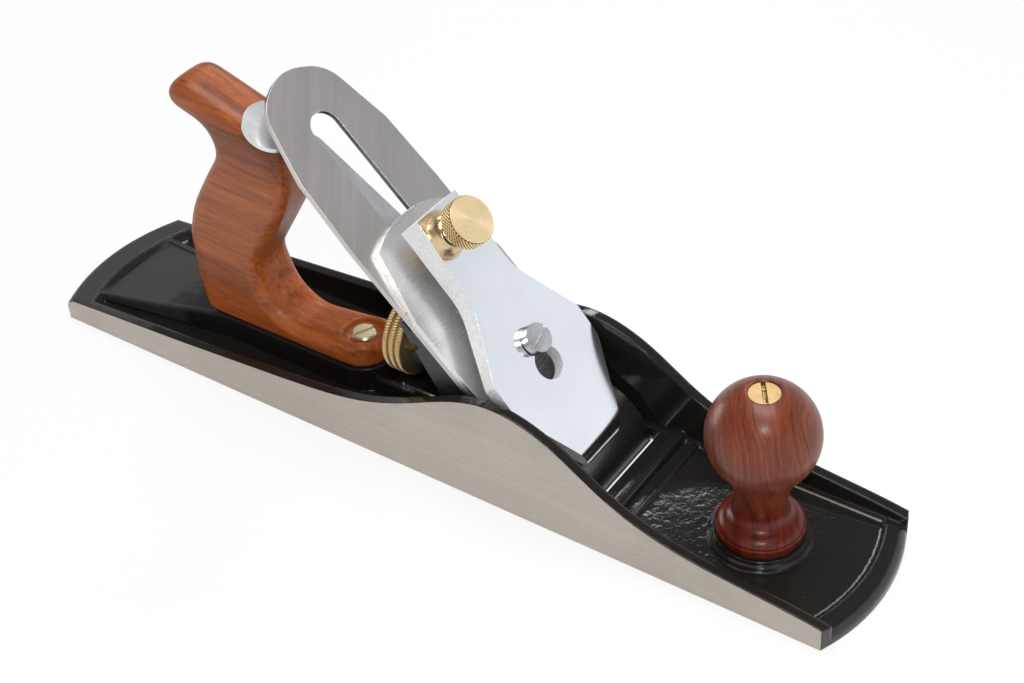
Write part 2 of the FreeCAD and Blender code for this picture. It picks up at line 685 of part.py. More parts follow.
def make_frog_screws():
    seat = FROG_SEAT + FROG_BASE
    under_head = seat + FROG_WASHER_THICKNESS
    screws = []
    washers = []
    for side in (-1, 1):
        y = side * FROG_SCREW_Y
        shank = rod(FROG_SCREW_RADIUS, Vector(FROG_SCREW_X, y, THREAD_FLOOR + SINK), AXIS_Z,
                    under_head - THREAD_FLOOR - SINK)
        head = rod(FROG_SCREW_HEAD_RADIUS, Vector(FROG_SCREW_X, y, under_head), AXIS_Z,
                   FROG_SCREW_HEAD_HEIGHT)
        slot = moved(screw_slot(FROG_SCREW_HEAD_RADIUS, under_head + FROG_SCREW_HEAD_HEIGHT),
                     Vector(FROG_SCREW_X, y, 0))
        screws.append(shank.fuse(head).cut(slot))
        ring = rod(FROG_WASHER_RADIUS, Vector(FROG_SCREW_X, y, seat), AXIS_Z, FROG_WASHER_THICKNESS)
        washers.append(ring.cut(rod(FROG_SCREW_RADIUS + RUN_GAP, Vector(FROG_SCREW_X, y, seat - OVERRUN),
                                    AXIS_Z,
                                    FROG_WASHER_THICKNESS + OVERRUN * 2)))
    return Part.makeCompound(screws), Part.makeCompound(washers)


def make_shift_screw():
    # Cheese-head screw behind the frog, with a groove that the adjusting plate rides in
    head_end = SHIFT_GROOVE_X - SHIFT_GROOVE_WIDTH / 2
    groove_end = SHIFT_GROOVE_X + SHIFT_GROOVE_WIDTH / 2
    parts = [
        rod(SHIFT_SCREW_HEAD_RADIUS, Vector(SHIFT_SCREW_HEAD_X, 0, SHIFT_SCREW_Z), AXIS_X,
            head_end - SHIFT_SCREW_HEAD_X),
        rod(SHIFT_GROOVE_RADIUS, Vector(head_end - SINK, 0, SHIFT_SCREW_Z), AXIS_X,
            SHIFT_GROOVE_WIDTH + SINK * 2),
        rod(SHIFT_SCREW_RADIUS, Vector(groove_end, 0, SHIFT_SCREW_Z), AXIS_X, SHIFT_SCREW_TIP_X - groove_end),
    ]
    slot = block(SHIFT_SCREW_HEAD_X - OVERRUN, SHIFT_SCREW_HEAD_X + SLOT_DEPTH, -SLOT_WIDTH / 2,
                 SLOT_WIDTH / 2,
                 SHIFT_SCREW_Z - SHIFT_SCREW_HEAD_RADIUS - OVERRUN,
                 SHIFT_SCREW_Z + SHIFT_SCREW_HEAD_RADIUS + OVERRUN)
    return parts[0].fuse(parts[1:]).cut(slot)


def make_shift_plate():
    # Plate on the back of the frog; its forked foot straddles the screw's groove
    x0 = SHIFT_GROOVE_X - SHIFT_PLATE_THICKNESS / 2
    foot = SHIFT_SCREW_Z - SHIFT_SCREW_RADIUS
    plate = block(x0, x0 + SHIFT_PLATE_THICKNESS, -SHIFT_PLATE_WIDTH / 2, SHIFT_PLATE_WIDTH / 2, foot,
                  SHIFT_PLATE_TOP)
    throat = SHIFT_GROOVE_RADIUS + RUN_GAP * 2
    gap = block(x0 - OVERRUN, x0 + SHIFT_PLATE_THICKNESS + OVERRUN, -throat, throat, foot - OVERRUN,
                SHIFT_SCREW_Z)
    top = rod(throat, Vector(x0 - OVERRUN, 0, SHIFT_SCREW_Z), AXIS_X, SHIFT_PLATE_THICKNESS + OVERRUN * 2)
    hole = rod(SHIFT_PLATE_SCREW_RADIUS + RUN_GAP, Vector(x0 - OVERRUN, 0, SHIFT_PLATE_SCREW_Z), AXIS_X,
               SHIFT_PLATE_THICKNESS + OVERRUN * 2)
    pad = block(x0 + SHIFT_PLATE_THICKNESS, SHIFT_GROOVE_X + (SHIFT_GROOVE_WIDTH + SHIFT_PLATE_THICKNESS) / 2,
                -SHIFT_PLATE_WIDTH / 2, SHIFT_PLATE_WIDTH / 2, FROG_SEAT + LOOSE_GAP, SHIFT_PLATE_TOP)
    return plate.fuse(pad).cut([gap, top, hole])


def make_shift_plate_screw():
    face = SHIFT_GROOVE_X - SHIFT_PLATE_THICKNESS / 2
    head_height = SHIFT_PLATE_THICKNESS
    head = rod(SHIFT_PLATE_SCREW_HEAD_RADIUS, Vector(face - head_height, 0, SHIFT_PLATE_SCREW_Z), AXIS_X,
               head_height)
    shank = rod(SHIFT_PLATE_SCREW_RADIUS, Vector(face - SINK, 0, SHIFT_PLATE_SCREW_Z), AXIS_X,
                SHIFT_PLATE_SCREW_LENGTH + SINK)
    reach = SHIFT_PLATE_SCREW_HEAD_RADIUS + OVERRUN
    slot = block(face - head_height - OVERRUN, face - head_height + SLOT_DEPTH / 2, -SLOT_WIDTH / 2,
                 SLOT_WIDTH / 2,
                 SHIFT_PLATE_SCREW_Z - reach, SHIFT_PLATE_SCREW_Z + reach)
    return head.fuse(shank).cut(slot)


def blade_outline(z):
    # Plan of the iron: straight sides, a slight taper, sloping shoulders and a round top
    half = BLADE_WIDTH / 2
    taper_at, shoulder_at, round_at, crown_at = [BLADE_LENGTH * share for share in (0.67, 0.82, 0.93, 0.987)]
    shoulder, round_half, crown = [half * share for share in (0.945, 0.745, 0.36)]
    corner_at, corner_half = BLADE_LENGTH * 0.967, half * 0.59
    side = [
        line(Vector(EDGE_LIFT, half, z), Vector(taper_at, half, z)),
        line(Vector(taper_at, half, z), Vector(shoulder_at, shoulder, z)),
        line(Vector(shoulder_at, shoulder, z), Vector(round_at, round_half, z)),
        arc(Vector(round_at, round_half, z), Vector(corner_at, corner_half, z), Vector(crown_at, crown, z)),
    ]
    other = [mirrored(edge) for edge in side]
    top = arc(Vector(crown_at, crown, z), Vector(BLADE_LENGTH, 0, z), Vector(crown_at, -crown, z))
    cutting = line(Vector(EDGE_LIFT, half, z), Vector(EDGE_LIFT, -half, z))
    return face_from(side + other + [top, cutting])


def make_blade():
    plate = blade_outline(-BLADE_THICKNESS).extrude(Vector(0, 0, BLADE_THICKNESS))
    slot_half = BLADE_SLOT_WIDTH / 2
    slot_end = BLADE_LENGTH - BLADE_CROWN
    slot = oblong(BLADE_SLOT_START + slot_half, slot_end - slot_half, slot_half, -BLADE_THICKNESS - OVERRUN,
                  OVERRUN)
    bevel_points = [(EDGE_LIFT, 0), (EDGE_LIFT + BLADE_BEVEL, -BLADE_THICKNESS),
                    (EDGE_LIFT + BLADE_BEVEL, -BLADE_THICKNESS * 2),
                    (-OVERRUN, -BLADE_THICKNESS * 2), (-OVERRUN, 0)]
    bevel = side_prism(bevel_points, BLADE_WIDTH)
    return on_bed(plate.cut([slot, bevel]))


def make_breaker():
    # Side section: a flat plate whose front rises in a hump and comes down on the blade
    foot, top_at, setback = HUMP_FOOT_AT, HUMP_TOP_AT, BREAKER_SETBACK
    y = -BLADE_WIDTH / 2
    p_back_low = Vector(BREAKER_LENGTH, y, 0)
    p_back_high = Vector(BREAKER_LENGTH, y, BREAKER_THICKNESS)
    p_foot_high = Vector(foot, y, BREAKER_THICKNESS)
    p_foot_low = Vector(foot, y, 0)
    p_lip_low = Vector(setback, y, 0)
    p_lip_high = Vector(setback, y, SINK)
    p_heel = Vector(setback + HUMP_SKIN, y, 0)
    edges = [
        line(p_foot_low, p_back_low),
        line(p_back_low, p_back_high),
        line(p_back_high, p_foot_high),
        arc(p_foot_high, Vector(top_at, y, HUMP_TOP), p_lip_high),
        line(p_lip_high, p_lip_low),
        line(p_lip_low, p_heel),
        arc(p_heel, Vector(top_at, y, HUMP_TOP - HUMP_SKIN), p_foot_low),
    ]
    section = face_from(edges).extrude(Vector(0, BLADE_WIDTH, 0))

    # Plan: full width, tapered shoulders, and a shallow arc at the top end
    half, end_half = BLADE_WIDTH / 2, BLADE_WIDTH / 2 - BREAKER_END_INSET
    drop = BREAKER_END_RADIUS - math.sqrt(BREAKER_END_RADIUS ** 2 - end_half ** 2)
    end_at = BREAKER_LENGTH - drop
    low = -OVERRUN
    plan = face_from([
        line(Vector(0, half, low), Vector(BREAKER_SHOULDER_AT, half, low)),
        line(Vector(BREAKER_SHOULDER_AT, half, low), Vector(end_at, end_half, low)),
        arc(Vector(end_at, end_half, low), Vector(BREAKER_LENGTH, 0, low), Vector(end_at, -end_half, low)),
        line(Vector(end_at, -end_half, low), Vector(BREAKER_SHOULDER_AT, -half, low)),
        line(Vector(BREAKER_SHOULDER_AT, -half, low), Vector(0, -half, low)),
        line(Vector(0, -half, low), Vector(0, half, low)),
    ]).extrude(Vector(0, 0, HUMP_TOP + OVERRUN * 2))
    plate = section.common(plan)

    # Clearance for the cap screw, thread for its own screw, and the slot that the yoke's tongue drives
    tongue_half = YOKE_TONGUE_TIP + LOOSE_GAP / 2
    width_half = YOKE_TONGUE_WIDTH / 2 + LOOSE_GAP
    holes = [
        oblong(CAP_SCREW_AT - CAP_SCREW_RADIUS, CAP_SCREW_AT + LOOSE_GAP * 2,
               CAP_SCREW_RADIUS + LOOSE_GAP * 3, low, OVERRUN * 2),
        rod(BREAKER_SCREW_RADIUS + RUN_GAP, Vector(BREAKER_SCREW_AT, 0, low), AXIS_Z, OVERRUN * 3),
        block(YOKE_AT - tongue_half, YOKE_AT + tongue_half, -width_half, width_half, low, OVERRUN * 2),
    ]
    return on_bed(plate.cut(holes))


def make_breaker_screw():
    under = -BLADE_THICKNESS
    shank = rod(BREAKER_SCREW_RADIUS, Vector(0, 0, under), AXIS_Z, BLADE_THICKNESS + BREAKER_THICKNESS)
    low = under - BREAKER_SCREW_HEAD_HEIGHT
    head = rod(BREAKER_SCREW_HEAD_RADIUS, Vector(0, 0, low), AXIS_Z, BREAKER_SCREW_HEAD_HEIGHT)
    reach = BREAKER_SCREW_HEAD_RADIUS + OVERRUN
    slot = block(-reach, reach, -SLOT_WIDTH / 2, SLOT_WIDTH / 2, low - OVERRUN, low + SLOT_DEPTH)
    return on_bed(moved(shank.fuse(head).cut(slot), Vector(BREAKER_SCREW_AT, 0, 0)))


CAP_SLOPE = (CAP_BACK_TOP - CAP_SHOULDER_TOP) / (CAP_BACK_AT - CAP_SHOULDER_FRONT_AT)


def cap_top(along):
    # Height of the lever cap's flat face above the blade
    return CAP_SHOULDER_TOP + (along - CAP_SHOULDER_FRONT_AT) * CAP_SLOPE


def cap_plan():
    # Plan of the lever cap: a narrow front edge, wide shoulders, and a neck round the thumb screw
    half = BLADE_WIDTH / 2
    neck_half = THUMB_HEAD_RADIUS + CAP_NECK_MARGIN
    side = [
        (CAP_FRONT_AT, half - CAP_FRONT_INSET, CAP_FRONT_ROUND),
        (CAP_SHOULDER_FRONT_AT, half + CAP_OVERHANG, CAP_SHOULDER_FRONT_ROUND),
        (CAP_SHOULDER_BACK_AT, half + CAP_OVERHANG, CAP_SHOULDER_BACK_ROUND),
        (CAP_NECK_AT, neck_half, CAP_NECK_ROUND),
        (CAP_BACK_AT, THUMB_HEAD_RADIUS + CAP_BACK_MARGIN, 0),
    ]
    corners = [(Vector(x, y, 0), radius) for x, y, radius in side]
    other = [(Vector(x, -y, 0), radius) for x, y, radius in reversed(side)]
    return face_from(rounded_loop(corners + other))


def make_lever_cap():
    # Side section: a flat face that rolls over at the front edge, and a hollow belly behind that edge
    half = BLADE_WIDTH
    belly_at = (CAP_FRONT_AT + CAP_SHOULDER_BACK_AT) / 2
    belly = CAP_FRONT_BOTTOM + (CAP_RIM_HEIGHT - CAP_FRONT_BOTTOM) * 0.7
    front_low = Vector(CAP_FRONT_AT, -half, CAP_FRONT_BOTTOM)
    rim = Vector(CAP_SHOULDER_BACK_AT, -half, CAP_RIM_HEIGHT)
    section = rounded_loop([
        (rim, 0),
        (Vector(CAP_BACK_AT, -half, CAP_RIM_HEIGHT), 0),
        (Vector(CAP_BACK_AT, -half, CAP_BACK_TOP), 0),
        (Vector(CAP_ROLL_AT, -half, cap_top(CAP_ROLL_AT)), CAP_ROLL_RADIUS),
        (Vector(CAP_FRONT_AT, -half, CAP_FRONT_TOP), 0),
        (front_low, 0),
    ])
    section[-1] = arc(front_low, Vector(belly_at, -half, belly), rim)
    section = face_from(section).extrude(Vector(0, half * 2, 0))
    cap = section.common(cap_plan().extrude(Vector(0, 0, CAP_BACK_TOP + OVERRUN)))

    # Hollow underside behind the keyhole, around a boss for the thumb screw
    pocket_start = CAP_SCREW_AT + CAP_SCREW_HEAD_RADIUS + CAP_SKIN
    pocket_end = CAP_BACK_AT - CAP_SKIN
    pocket_half = THUMB_HEAD_RADIUS + CAP_BACK_MARGIN - CAP_SKIN
    roof = side_prism([
        (pocket_start, 0),
        (pocket_start, cap_top(pocket_start) - CAP_SKIN),
        (pocket_end, cap_top(pocket_end) - CAP_SKIN),
        (pocket_end, 0),
    ], pocket_half)
    boss = rod(THUMB_BOSS_RADIUS, Vector(THUMB_AT, 0, 0), AXIS_Z, CAP_BACK_TOP)
    cap = cap.cut(roof.cut(boss))

    # Keyhole: the round part lets the screw's head through, the slot slides under it
    keyhole = [
        rod(KEYHOLE_RADIUS, Vector(KEYHOLE_AT, 0, 0), AXIS_Z, CAP_BACK_TOP),
        oblong(KEYHOLE_AT, CAP_SCREW_AT, CAP_SCREW_RADIUS + LOOSE_GAP, 0, CAP_BACK_TOP),
    ]
    thread = rod(THUMB_RADIUS + RUN_GAP, Vector(THUMB_AT, 0, 0), AXIS_Z, CAP_BACK_TOP + OVERRUN)
    return on_bed(cap.cut(keyhole + [thread]))


def make_cap_screw():
    under_head = cap_top(CAP_SCREW_AT + CAP_SCREW_HEAD_RADIUS) + RUN_GAP
    top = under_head + CAP_SCREW_HEAD_HEIGHT
    low = -BLADE_THICKNESS - CAP_SCREW_DEPTH
    shank = rod(CAP_SCREW_RADIUS, Vector(0, 0, low), AXIS_Z, under_head - low)
    head = rod(CAP_SCREW_HEAD_RADIUS, Vector(0, 0, under_head), AXIS_Z, CAP_SCREW_HEAD_HEIGHT)
    slot = screw_slot(CAP_SCREW_HEAD_RADIUS, top)
    slot.rotate(Vector(0, 0, 0), AXIS_Z, CAP_SCREW_TURN)
    return on_bed(moved(shank.fuse(head).cut(slot), Vector(CAP_SCREW_AT, 0, 0)))


def make_thumb_screw():
    tip = BREAKER_THICKNESS + RUN_GAP
    collar = cap_top(THUMB_AT + THUMB_COLLAR_RADIUS) + RUN_GAP
    top = THUMB_HEAD_BOTTOM + THUMB_HEAD_HEIGHT
    edge = THUMB_HEAD_HEIGHT / 8
    flare_end = Vector(THUMB_COLLAR_RADIUS + THUMB_FLARE, 0, THUMB_HEAD_BOTTOM)
    flare_start = Vector(THUMB_COLLAR_RADIUS, 0, collar)
    flare_middle = Vector(THUMB_COLLAR_RADIUS + THUMB_FLARE * 0.27, 0, (THUMB_HEAD_BOTTOM + collar) / 2)
    profile = [
        flare_end, Vector(THUMB_HEAD_RADIUS - edge, 0, THUMB_HEAD_BOTTOM),
        Vector(THUMB_HEAD_RADIUS, 0, THUMB_HEAD_BOTTOM + edge), Vector(THUMB_HEAD_RADIUS, 0, top - edge),
        Vector(THUMB_HEAD_RADIUS - edge, 0, top), Vector(0, 0, top),
        Vector(0, 0, tip), Vector(THUMB_RADIUS - edge, 0, tip),
        Vector(THUMB_RADIUS, 0, tip + edge), Vector(THUMB_RADIUS, 0, collar), flare_start,
    ]
    edges = polygon_edges(profile)
    edges[-1] = arc(flare_start, flare_middle, flare_end)
    screw = face_from(edges).revolve(Vector(0, 0, 0), AXIS_Z, 360)
    return on_bed(moved(screw, Vector(THUMB_AT, 0, 0)))


YOKE_PIN = bed_point(YOKE_AT, -YOKE_BELOW)
TRACK_START_X = WHEEL_BACK_X + WHEEL_WIDTH + WHEEL_CONE + WHEEL_COLLAR
TRACK_CENTRE = Vector(TRACK_START_X + WHEEL_TRACK_WIDTH / 2, 0, STUD_Z)


def make_yoke():
    # Tongue up through bed and blade, barrel on the pin, two arms down to the wheel's track
    barrel_half = YOKE_BARREL_WIDTH / 2
    tongue_half = YOKE_TONGUE_WIDTH / 2
    tip = bed_point(YOKE_AT, YOKE_TIP_ABOVE)
    arm_outer = YOKE_ARM_INNER + YOKE_ARM_WIDTH
    barrel = rod(YOKE_BARREL_RADIUS, Vector(YOKE_PIN.x, -barrel_half, YOKE_PIN.z), AXIS_Y, YOKE_BARREL_WIDTH)
    stem_half = YOKE_TONGUE_STEM / 2
    stem = link(YOKE_PIN, stem_half, tip, stem_half, -tongue_half, tongue_half)
    knuckle = rod(YOKE_TONGUE_TIP, Vector(tip.x, -tongue_half, tip.z), AXIS_Y, YOKE_TONGUE_WIDTH)
    bridge = YOKE_PIN + (TRACK_CENTRE - YOKE_PIN) * YOKE_BRIDGE_SHARE
    neck = link(YOKE_PIN, YOKE_TONGUE_TIP, bridge, YOKE_BRIDGE_RADIUS, -barrel_half, barrel_half)
    cross = rod(YOKE_BRIDGE_RADIUS, Vector(bridge.x, -arm_outer, bridge.z), AXIS_Y, arm_outer * 2)
    arm = link(bridge, YOKE_BRIDGE_RADIUS, TRACK_CENTRE, YOKE_ARM_END_RADIUS, YOKE_ARM_INNER, arm_outer)
    nub = rod(YOKE_NUB_RADIUS, Vector(TRACK_CENTRE.x, YOKE_NUB_INNER, TRACK_CENTRE.z), AXIS_Y,
              YOKE_ARM_INNER - YOKE_NUB_INNER + SINK)
    yoke = barrel.fuse([stem, knuckle, neck, cross, arm, mirrored(arm), nub, mirrored(nub)])
    bore = rod(YOKE_PIN_RADIUS + RUN_GAP, Vector(YOKE_PIN.x, -arm_outer, YOKE_PIN.z), AXIS_Y, arm_outer * 2)
    return yoke.cut(bore)


def make_yoke_pin():
    return rod(YOKE_PIN_RADIUS, Vector(YOKE_PIN.x, -YOKE_PIN_LENGTH / 2, YOKE_PIN.z), AXIS_Y, YOKE_PIN_LENGTH)


def make_stud():
    front = FROG_WAIST_X + STUD_SINK - LOOSE_GAP * 2
    stud = rod(STUD_RADIUS, Vector(STUD_BACK_X, 0, STUD_Z), AXIS_X, front - STUD_BACK_X)
    back_edge = [e for e in stud.Edges if e.BoundBox.XMax < STUD_BACK_X + SINK]
    return stud.makeChamfer(WHEEL_EDGE, back_edge)


def make_wheel():
    # Turned brass: three rolled bands, a cone, and a grooved hub in front for the yoke
    band = (WHEEL_WIDTH - WHEEL_GROOVE_WIDTH * 2) / 3
    bore = STUD_RADIUS + RUN_GAP
    profile = [(bore, 0), (WHEEL_RADIUS - WHEEL_EDGE, 0)]
    start = 0
    for number in range(3):
        end = start + band
        first = start + WHEEL_EDGE if number == 0 else start
        last = end - WHEEL_EDGE if number == 2 else end
        profile += [(WHEEL_RADIUS, first), (WHEEL_RADIUS, last)]
        if number < 2:
            inner = WHEEL_RADIUS - WHEEL_GROOVE_DEPTH
            profile += [(inner, end), (inner, end + WHEEL_GROOVE_WIDTH)]
        start = end + WHEEL_GROOVE_WIDTH
    hub = WHEEL_WIDTH + WHEEL_CONE
    track = hub + WHEEL_COLLAR
    flange = track + WHEEL_TRACK_WIDTH
    profile += [
        (WHEEL_RADIUS - WHEEL_EDGE, WHEEL_WIDTH), (WHEEL_HUB_RADIUS, hub), (WHEEL_HUB_RADIUS, track),
        (WHEEL_TRACK_RADIUS, track), (WHEEL_TRACK_RADIUS, flange), (WHEEL_HUB_RADIUS, flange),
        (WHEEL_HUB_RADIUS, flange + WHEEL_FLANGE), (bore, flange + WHEEL_FLANGE),
    ]
    wheel = turned(profile)
    wheel.Placement = FreeCAD.Placement(Vector(WHEEL_BACK_X, 0, STUD_Z), FreeCAD.Rotation(AXIS_Z, AXIS_X))
    return wheel


def place_lateral(shape):
    # Lateral parts are drawn with the pivot at the origin and x towards the thumb pad
    turned_shape = shape.copy()
    turned_shape.rotate(Vector(0, 0, 0), AXIS_Z, LATERAL_TILT)
    return on_bed(moved(turned_shape, Vector(LATERAL_PIVOT_AT, 0, 0)))


def make_lateral_lever():
    top = -BLADE_THICKNESS - LATERAL_GAP
    low = top - LATERAL_THICKNESS
    bar = oblong(-LATERAL_FOOT, LATERAL_BEND, LATERAL_WIDTH / 2, low, top)
    neck = side_prism([
        (LATERAL_BEND, top), (LATERAL_REACH, top - LATERAL_PAD_DROP),
        (LATERAL_REACH, low - LATERAL_PAD_DROP), (LATERAL_BEND, low),
    ], LATERAL_WIDTH / 2)
    pad = rod(LATERAL_PAD_RADIUS, Vector(0, 0, low - LATERAL_PAD_DROP), AXIS_Z, LATERAL_THICKNESS)
    pad_slope = math.degrees(math.atan2(LATERAL_PAD_DROP, LATERAL_REACH - LATERAL_BEND))
    pad.rotate(Vector(0, 0, top - LATERAL_PAD_DROP), AXIS_Y, pad_slope)
    pad = moved(pad, Vector(LATERAL_REACH, 0, 0))
    bore = rod(LATERAL_PIN_RADIUS + RUN_GAP, Vector(0, 0, low - OVERRUN), AXIS_Z,
               LATERAL_THICKNESS + OVERRUN * 2)
    return place_lateral(bar.fuse([neck, pad]).cut(bore))


def make_lateral_pin():
    low = -BLADE_THICKNESS - FROG_TONGUE_BACK
    top = -BLADE_THICKNESS - RUN_GAP * 2
    head_low = -BLADE_THICKNESS - LATERAL_GAP + RUN_GAP
    shank = rod(LATERAL_PIN_RADIUS, Vector(0, 0, low), AXIS_Z, top - low)
    head = rod(LATERAL_PIN_HEAD_RADIUS, Vector(0, 0, head_low), AXIS_Z, top - head_low)
    return place_lateral(shank.fuse(head))


def make_lateral_disc():
    base = -BLADE_THICKNESS - LATERAL_GAP
    return place_lateral(rod(LATERAL_DISC_RADIUS, Vector(-LATERAL_FOOT, 0, base), AXIS_Z,
                             LATERAL_DISC_HEIGHT))


def make_knob():
    # Ball, waist and bell-shaped foot: a chain of arcs, each tangent to the next
    ball = Vector(0, 0, KNOB_BALL_Z)
    rise = KNOB_BALL_Z - KNOB_NECK_Z
    taper = KNOB_BALL_RADIUS - KNOB_NECK_RADIUS
    upper = (rise ** 2 - KNOB_BALL_RADIUS ** 2 + KNOB_NECK_RADIUS ** 2) / (2 * taper)
    spread = KNOB_FOOT_RADIUS - KNOB_NECK_RADIUS
    lower = (spread ** 2 + (KNOB_NECK_Z - KNOB_FOOT_Z) ** 2) / (4 * spread)
    upper_centre = Vector(KNOB_NECK_RADIUS + upper, 0, KNOB_NECK_Z)
    lower_centre = Vector(KNOB_NECK_RADIUS + lower, 0, KNOB_NECK_Z)
    foot_centre = Vector(KNOB_FOOT_RADIUS - lower, 0, KNOB_FOOT_Z)
    ball_end = math.degrees(math.atan2(-rise, upper_centre.x))
    ball_start = math.degrees(math.asin((KNOB_TOP_Z - KNOB_BALL_Z) / KNOB_BALL_RADIUS))
    join = math.degrees(math.atan2(lower_centre.z - foot_centre.z, lower_centre.x - foot_centre.x))
    foot_end = math.degrees(math.asin((KNOB_BOSS_TOP - KNOB_FOOT_Z) / lower))
    chain = (
        (ball, KNOB_BALL_RADIUS, ball_start, ball_end),
        (upper_centre, upper, 180 + ball_end, 180),
        (lower_centre, lower, 180, 180 + join),
        (foot_centre, lower, join, foot_end),
    )
    edges = []
    for centre, radius, first, last in chain:
        edges.append(arc(*[on_circle(centre, radius, turn) for turn in (first, (first + last) / 2, last)]))
    start, end = on_circle(ball, KNOB_BALL_RADIUS, ball_start), on_circle(foot_centre, lower, foot_end)
    top, low = Vector(0, 0, start.z), Vector(0, 0, end.z)
    knob = face_from(edges + [line(start, top), line(top, low), line(low, end)])
    knob = knob.revolve(Vector(0, 0, 0), AXIS_Z, 360)
    head_low = KNOB_NUT_TOP - NUT_HEAD
    bores = [
        rod(ROD_RADIUS + LOOSE_GAP / 2, Vector(0, 0, 0), AXIS_Z, KNOB_NUT_TOP),
        rod(NUT_BARREL_RADIUS + LOOSE_GAP / 2, Vector(0, 0, head_low - NUT_BARREL), AXIS_Z,
            NUT_BARREL + SINK),
        rod(NUT_RADIUS + RUN_GAP, Vector(0, 0, head_low), AXIS_Z, NUT_HEAD + OVERRUN),
    ]
    return moved(knob.cut(bores), Vector(KNOB_X, 0, 0))


def make_rod_and_nut(low, direction, head_top):
    # A threaded rod from low, and a slotted barrel nut whose head ends at head_top
    length = (head_top - low).Length
    head_low = head_top - direction * NUT_HEAD
    barrel_low = head_low - direction * NUT_BARREL
    grip = length - NUT_HEAD - SLOT_DEPTH
    steel = rod(ROD_RADIUS, low, direction, grip)
    barrel = rod(NUT_BARREL_RADIUS, barrel_low, direction, NUT_BARREL + SINK)
    head = rod(NUT_RADIUS, head_low, direction, NUT_HEAD)
    bore = rod(ROD_RADIUS + RUN_GAP, barrel_low - direction * OVERRUN, direction,
               NUT_BARREL + NUT_HEAD - SLOT_DEPTH + OVERRUN)
    slot = screw_slot(NUT_RADIUS, 0)
    slot.Placement = FreeCAD.Placement(head_top, FreeCAD.Rotation(AXIS_Z, direction))
    return steel, barrel.fuse(head).cut([bore, slot])


def make_tote():
    corners = []
    for x_share, z_share, round_share in TOTE_CORNER_SHARES:
        place = handle_point(x_share, z_share) - AXIS_Y * (TOTE_THICKNESS / 2)
        corners.append((place, round_share * TOTE_HEIGHT))
    slab = face_from(rounded_loop(corners)).extrude(Vector(0, TOTE_THICKNESS, 0))
    rims = [e for e in slab.Edges if e.BoundBox.YLength < SINK and e.BoundBox.ZMax > TOTE_BASE_Z + SINK]
    slab = slab.makeFillet(TOTE_EDGE_SHARE * TOTE_HEIGHT, rims)

    # The base is a long oval in plan, so both ends are rounded too
    half = TOTE_THICKNESS / 2
    margin = TOTE_LENGTH * TOTE_END_SHARE
    oval = oblong(TOTE_BACK_X - margin + half, TOTE_TOE_X - half, half, TOTE_BASE_Z,
                  TOTE_BASE_Z + TOTE_HEIGHT + OVERRUN)
    tote = slab.common(oval)

    # Bores for the long rod, its nut and the toe screw
    head_low = ROD_TOP - ROD_UP * NUT_HEAD
    bores = [
        rod(ROD_RADIUS + LOOSE_GAP / 2, ROD_FOOT - ROD_UP * ROD_SINK, ROD_UP, TOTE_HEIGHT + ROD_SINK),
        rod(NUT_BARREL_RADIUS + LOOSE_GAP / 2, head_low - ROD_UP * NUT_BARREL, ROD_UP, NUT_BARREL + SINK),
        rod(NUT_RADIUS + RUN_GAP, head_low, ROD_UP, NUT_HEAD * OVERRUN),
        rod(TOE_SCREW_RADIUS + LOOSE_GAP / 2, Vector(TOE_SCREW_X, 0, 0), AXIS_Z, TOE_SCREW_TOP),
        rod(TOE_SCREW_WELL_RADIUS, Vector(TOE_SCREW_X, 0, TOE_SCREW_TOP - TOE_SCREW_HEAD), AXIS_Z,
            TOTE_HEIGHT / 4),
    ]
    return tote.cut(bores)


def make_toe_screw():
    under_head = TOE_SCREW_TOP - TOE_SCREW_HEAD
    low = THREAD_FLOOR + SINK
    edge = TOE_SCREW_HEAD / 4
    profile = [
        (0, low), (TOE_SCREW_RADIUS, low),
        (TOE_SCREW_RADIUS, under_head), (TOE_SCREW_HEAD_RADIUS, under_head),
        (TOE_SCREW_HEAD_RADIUS, TOE_SCREW_TOP - edge), (TOE_SCREW_HEAD_RADIUS - edge, TOE_SCREW_TOP),
        (0, TOE_SCREW_TOP),
    ]
    slot = screw_slot(TOE_SCREW_HEAD_RADIUS, TOE_SCREW_TOP)
    slot.rotate(Vector(0, 0, 0), AXIS_Z, BED_ANGLE / 2)
    return moved(turned(profile).cut(slot), Vector(TOE_SCREW_X, 0, 0))


